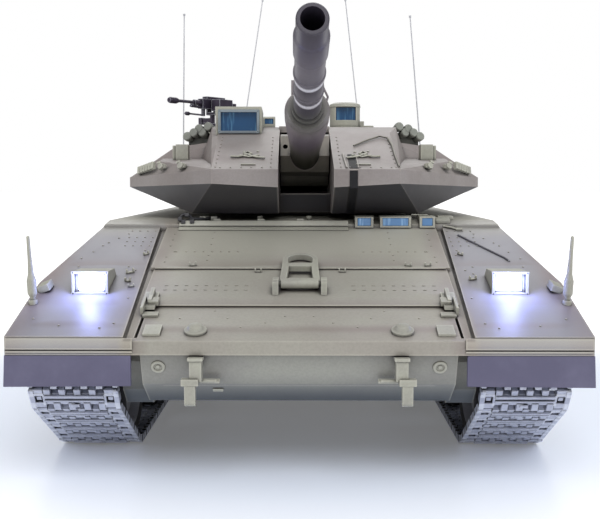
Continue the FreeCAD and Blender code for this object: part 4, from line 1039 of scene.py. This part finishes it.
def cheek_recess_shade():
    """A dark strip of painted shade that stands for a recess down the right cheek and under its nose."""
    bm = bmesh.new()
    path = [on_cheek(RECESS_X, 124, 0.25), on_cheek(RECESS_X, 101, 0.25), at(RECESS_X, 99.7, 131),
            at(RECESS_X, 99.7, 122.6), at(RECESS_X, 129, 109.2)]
    edge = ACROSS * RECESS_HALF * MM
    left = [bm.verts.new(p - edge) for p in path]
    right = [bm.verts.new(p + edge) for p in path]
    faces = [bm.faces.new((left[i], right[i], right[i + 1], left[i + 1])) for i in range(len(path) - 1)]
    bmesh.ops.solidify(bm, geom=faces, thickness=RECESS_STRIP_THICK * MM)
    # painted shade: a dark strip laid on the surface in place of the recess
    piece("cheek_recess_shade", bm, PLASTIC, "turret", turret=True)


def recess_lip():
    """The raised lips on both sides of the recess strip."""
    bm = bmesh.new()
    for top, bottom, radius in ((-4.4, -3.4, 0.5), (2.4, 2.4, 0.35)):
        tube(bm, [on_cheek(RECESS_X + top, 124, 0.3), on_cheek(RECESS_X + bottom, 101, 0.3)], radius, 8)
    piece("recess_lip", bm, TURRET, "turret", turret=True)


for hand in ("left", "right"):
    track(hand)
for add in (hull_seams, top_strip, hull_rivets, dash_rows, glacis_brackets, cable_end, fender_conduit,
            nose_fittings, skirt_details, side_outlet, deck_details, rear_details, lamp_lenses,
            sight_bezel, lamp_frames, wiper, lifting_eyes, turret_bolts, wing_fittings, cheek_cable,
            cheek_recess_shade, recess_lip):
    add()


# ------------------------------------------------------------------ stage, light, camera
FLOOR_MIDDLE, FLOOR_REACH = 1500, 9000
SHADE_START, SHADE_END = 180 * MM, 340 * MM


def floor():
    """A pale floor with a painted bluish shadow under the tank that turns to plain white away from it."""
    bm = bmesh.new()
    lathe(bm, Matrix.Identity(4), [(0, 0), (FLOOR_MIDDLE, 0), (FLOOR_REACH, 0)], 64)
    s = Shader("floor_white", Roughness=0.3, Emission_Color=(1.0, 1.0, 1.0, 1.0))
    distance = s.node("VectorMath", {0: s.coords}, operation="LENGTH").outputs["Value"]
    away = s.range(distance, SHADE_START, SHADE_END)
    # painted shadow: bluish tone and weaker glow near the tank
    near = s.mix(s.noise(2.0, 2.0), (0.74, 0.81, 0.95), (0.76, 0.83, 0.97))
    s.colour(s.mix(away, near, (0.1, 0.1, 0.1)))
    s.links.new(s.math("ADD", s.math("MULTIPLY", away, 0.95), 0.14), s.bsdf.inputs["Emission Strength"])
    placed("floor", bm, [s.material])


LIGHT_TARGET = Vector((0, 0, 0.1))


def soft_light(name, place, size, power, colour=(1, 1, 1)):
    """A large soft panel that faces the tank; metres and watts."""
    data = bpy.data.lights.new(name, "AREA")
    data.shape = "RECTANGLE"
    data.size, data.size_y = size
    data.energy = power
    data.color = colour
    thing = bpy.data.objects.new(name, data)
    thing.location = place
    thing.rotation_euler = (LIGHT_TARGET - Vector(place)).to_track_quat("-Z", "Y").to_euler()
    bpy.context.scene.collection.objects.link(thing)


def lamp_glow(x):
    """The bluish light that a lit headlamp throws on its fender."""
    data = bpy.data.lights.new("lamp_glow", "POINT")
    data.energy = 0.03
    data.color = (0.36, 0.42, 1.0)
    data.shadow_soft_size = 0.004
    thing = bpy.data.objects.new("lamp_glow", data)
    thing.location = at(x, 33, 84)
    bpy.context.scene.collection.objects.link(thing)


WORLD_LIGHT = 0.4


def world():
    """A white studio: full white to the camera, softer as a light."""
    made = bpy.data.worlds.new("studio")
    bpy.context.scene.world = made
    made.use_nodes = True
    nodes, links = made.node_tree.nodes, made.node_tree.links
    background = nodes["Background"]
    path = nodes.new("ShaderNodeLightPath")
    mix = nodes.new("ShaderNodeMix")
    mix.inputs[2].default_value = WORLD_LIGHT
    mix.inputs[3].default_value = 1.0
    links.new(path.outputs["Is Camera Ray"], mix.inputs[0])
    links.new(mix.outputs[0], background.inputs["Strength"])
    background.inputs["Color"].default_value = (1, 1, 1, 1)


LENS_MM = 57.08
LOOK_DOWN, LOOK_LEFT = math.radians(4.79), math.radians(0.52)


def camera():
    """The camera in front of the nose at turret height, as fitted to the photo."""
    data = bpy.data.cameras.new("camera")
    data.sensor_width = 36.0
    data.lens = LENS_MM
    data.clip_start = 0.01
    data.clip_end = 50.0
    thing = bpy.data.objects.new("camera", data)
    thing.location = at(3.9, -374.1, 126.7)
    thing.rotation_euler = (math.radians(90) - LOOK_DOWN, 0, LOOK_LEFT)
    bpy.context.scene.collection.objects.link(thing)
    bpy.context.scene.camera = thing


floor()
soft_light("key", (0.3, -1.6, 1.7), (1.6, 1.2), 31)
soft_light("fill_left", (-1.6, -0.6, 0.9), (1.0, 1.2), 7)
soft_light("fill_right", (1.6, -0.6, 0.9), (1.0, 1.2), 7, (0.92, 0.95, 1.0))
soft_light("back", (0, 1.6, 1.4), (1.6, 1.0), 14)
for x in both(LAMP_X):
    lamp_glow(x)
world()
camera()
bpy.context.scene.view_settings.view_transform = "Standard"
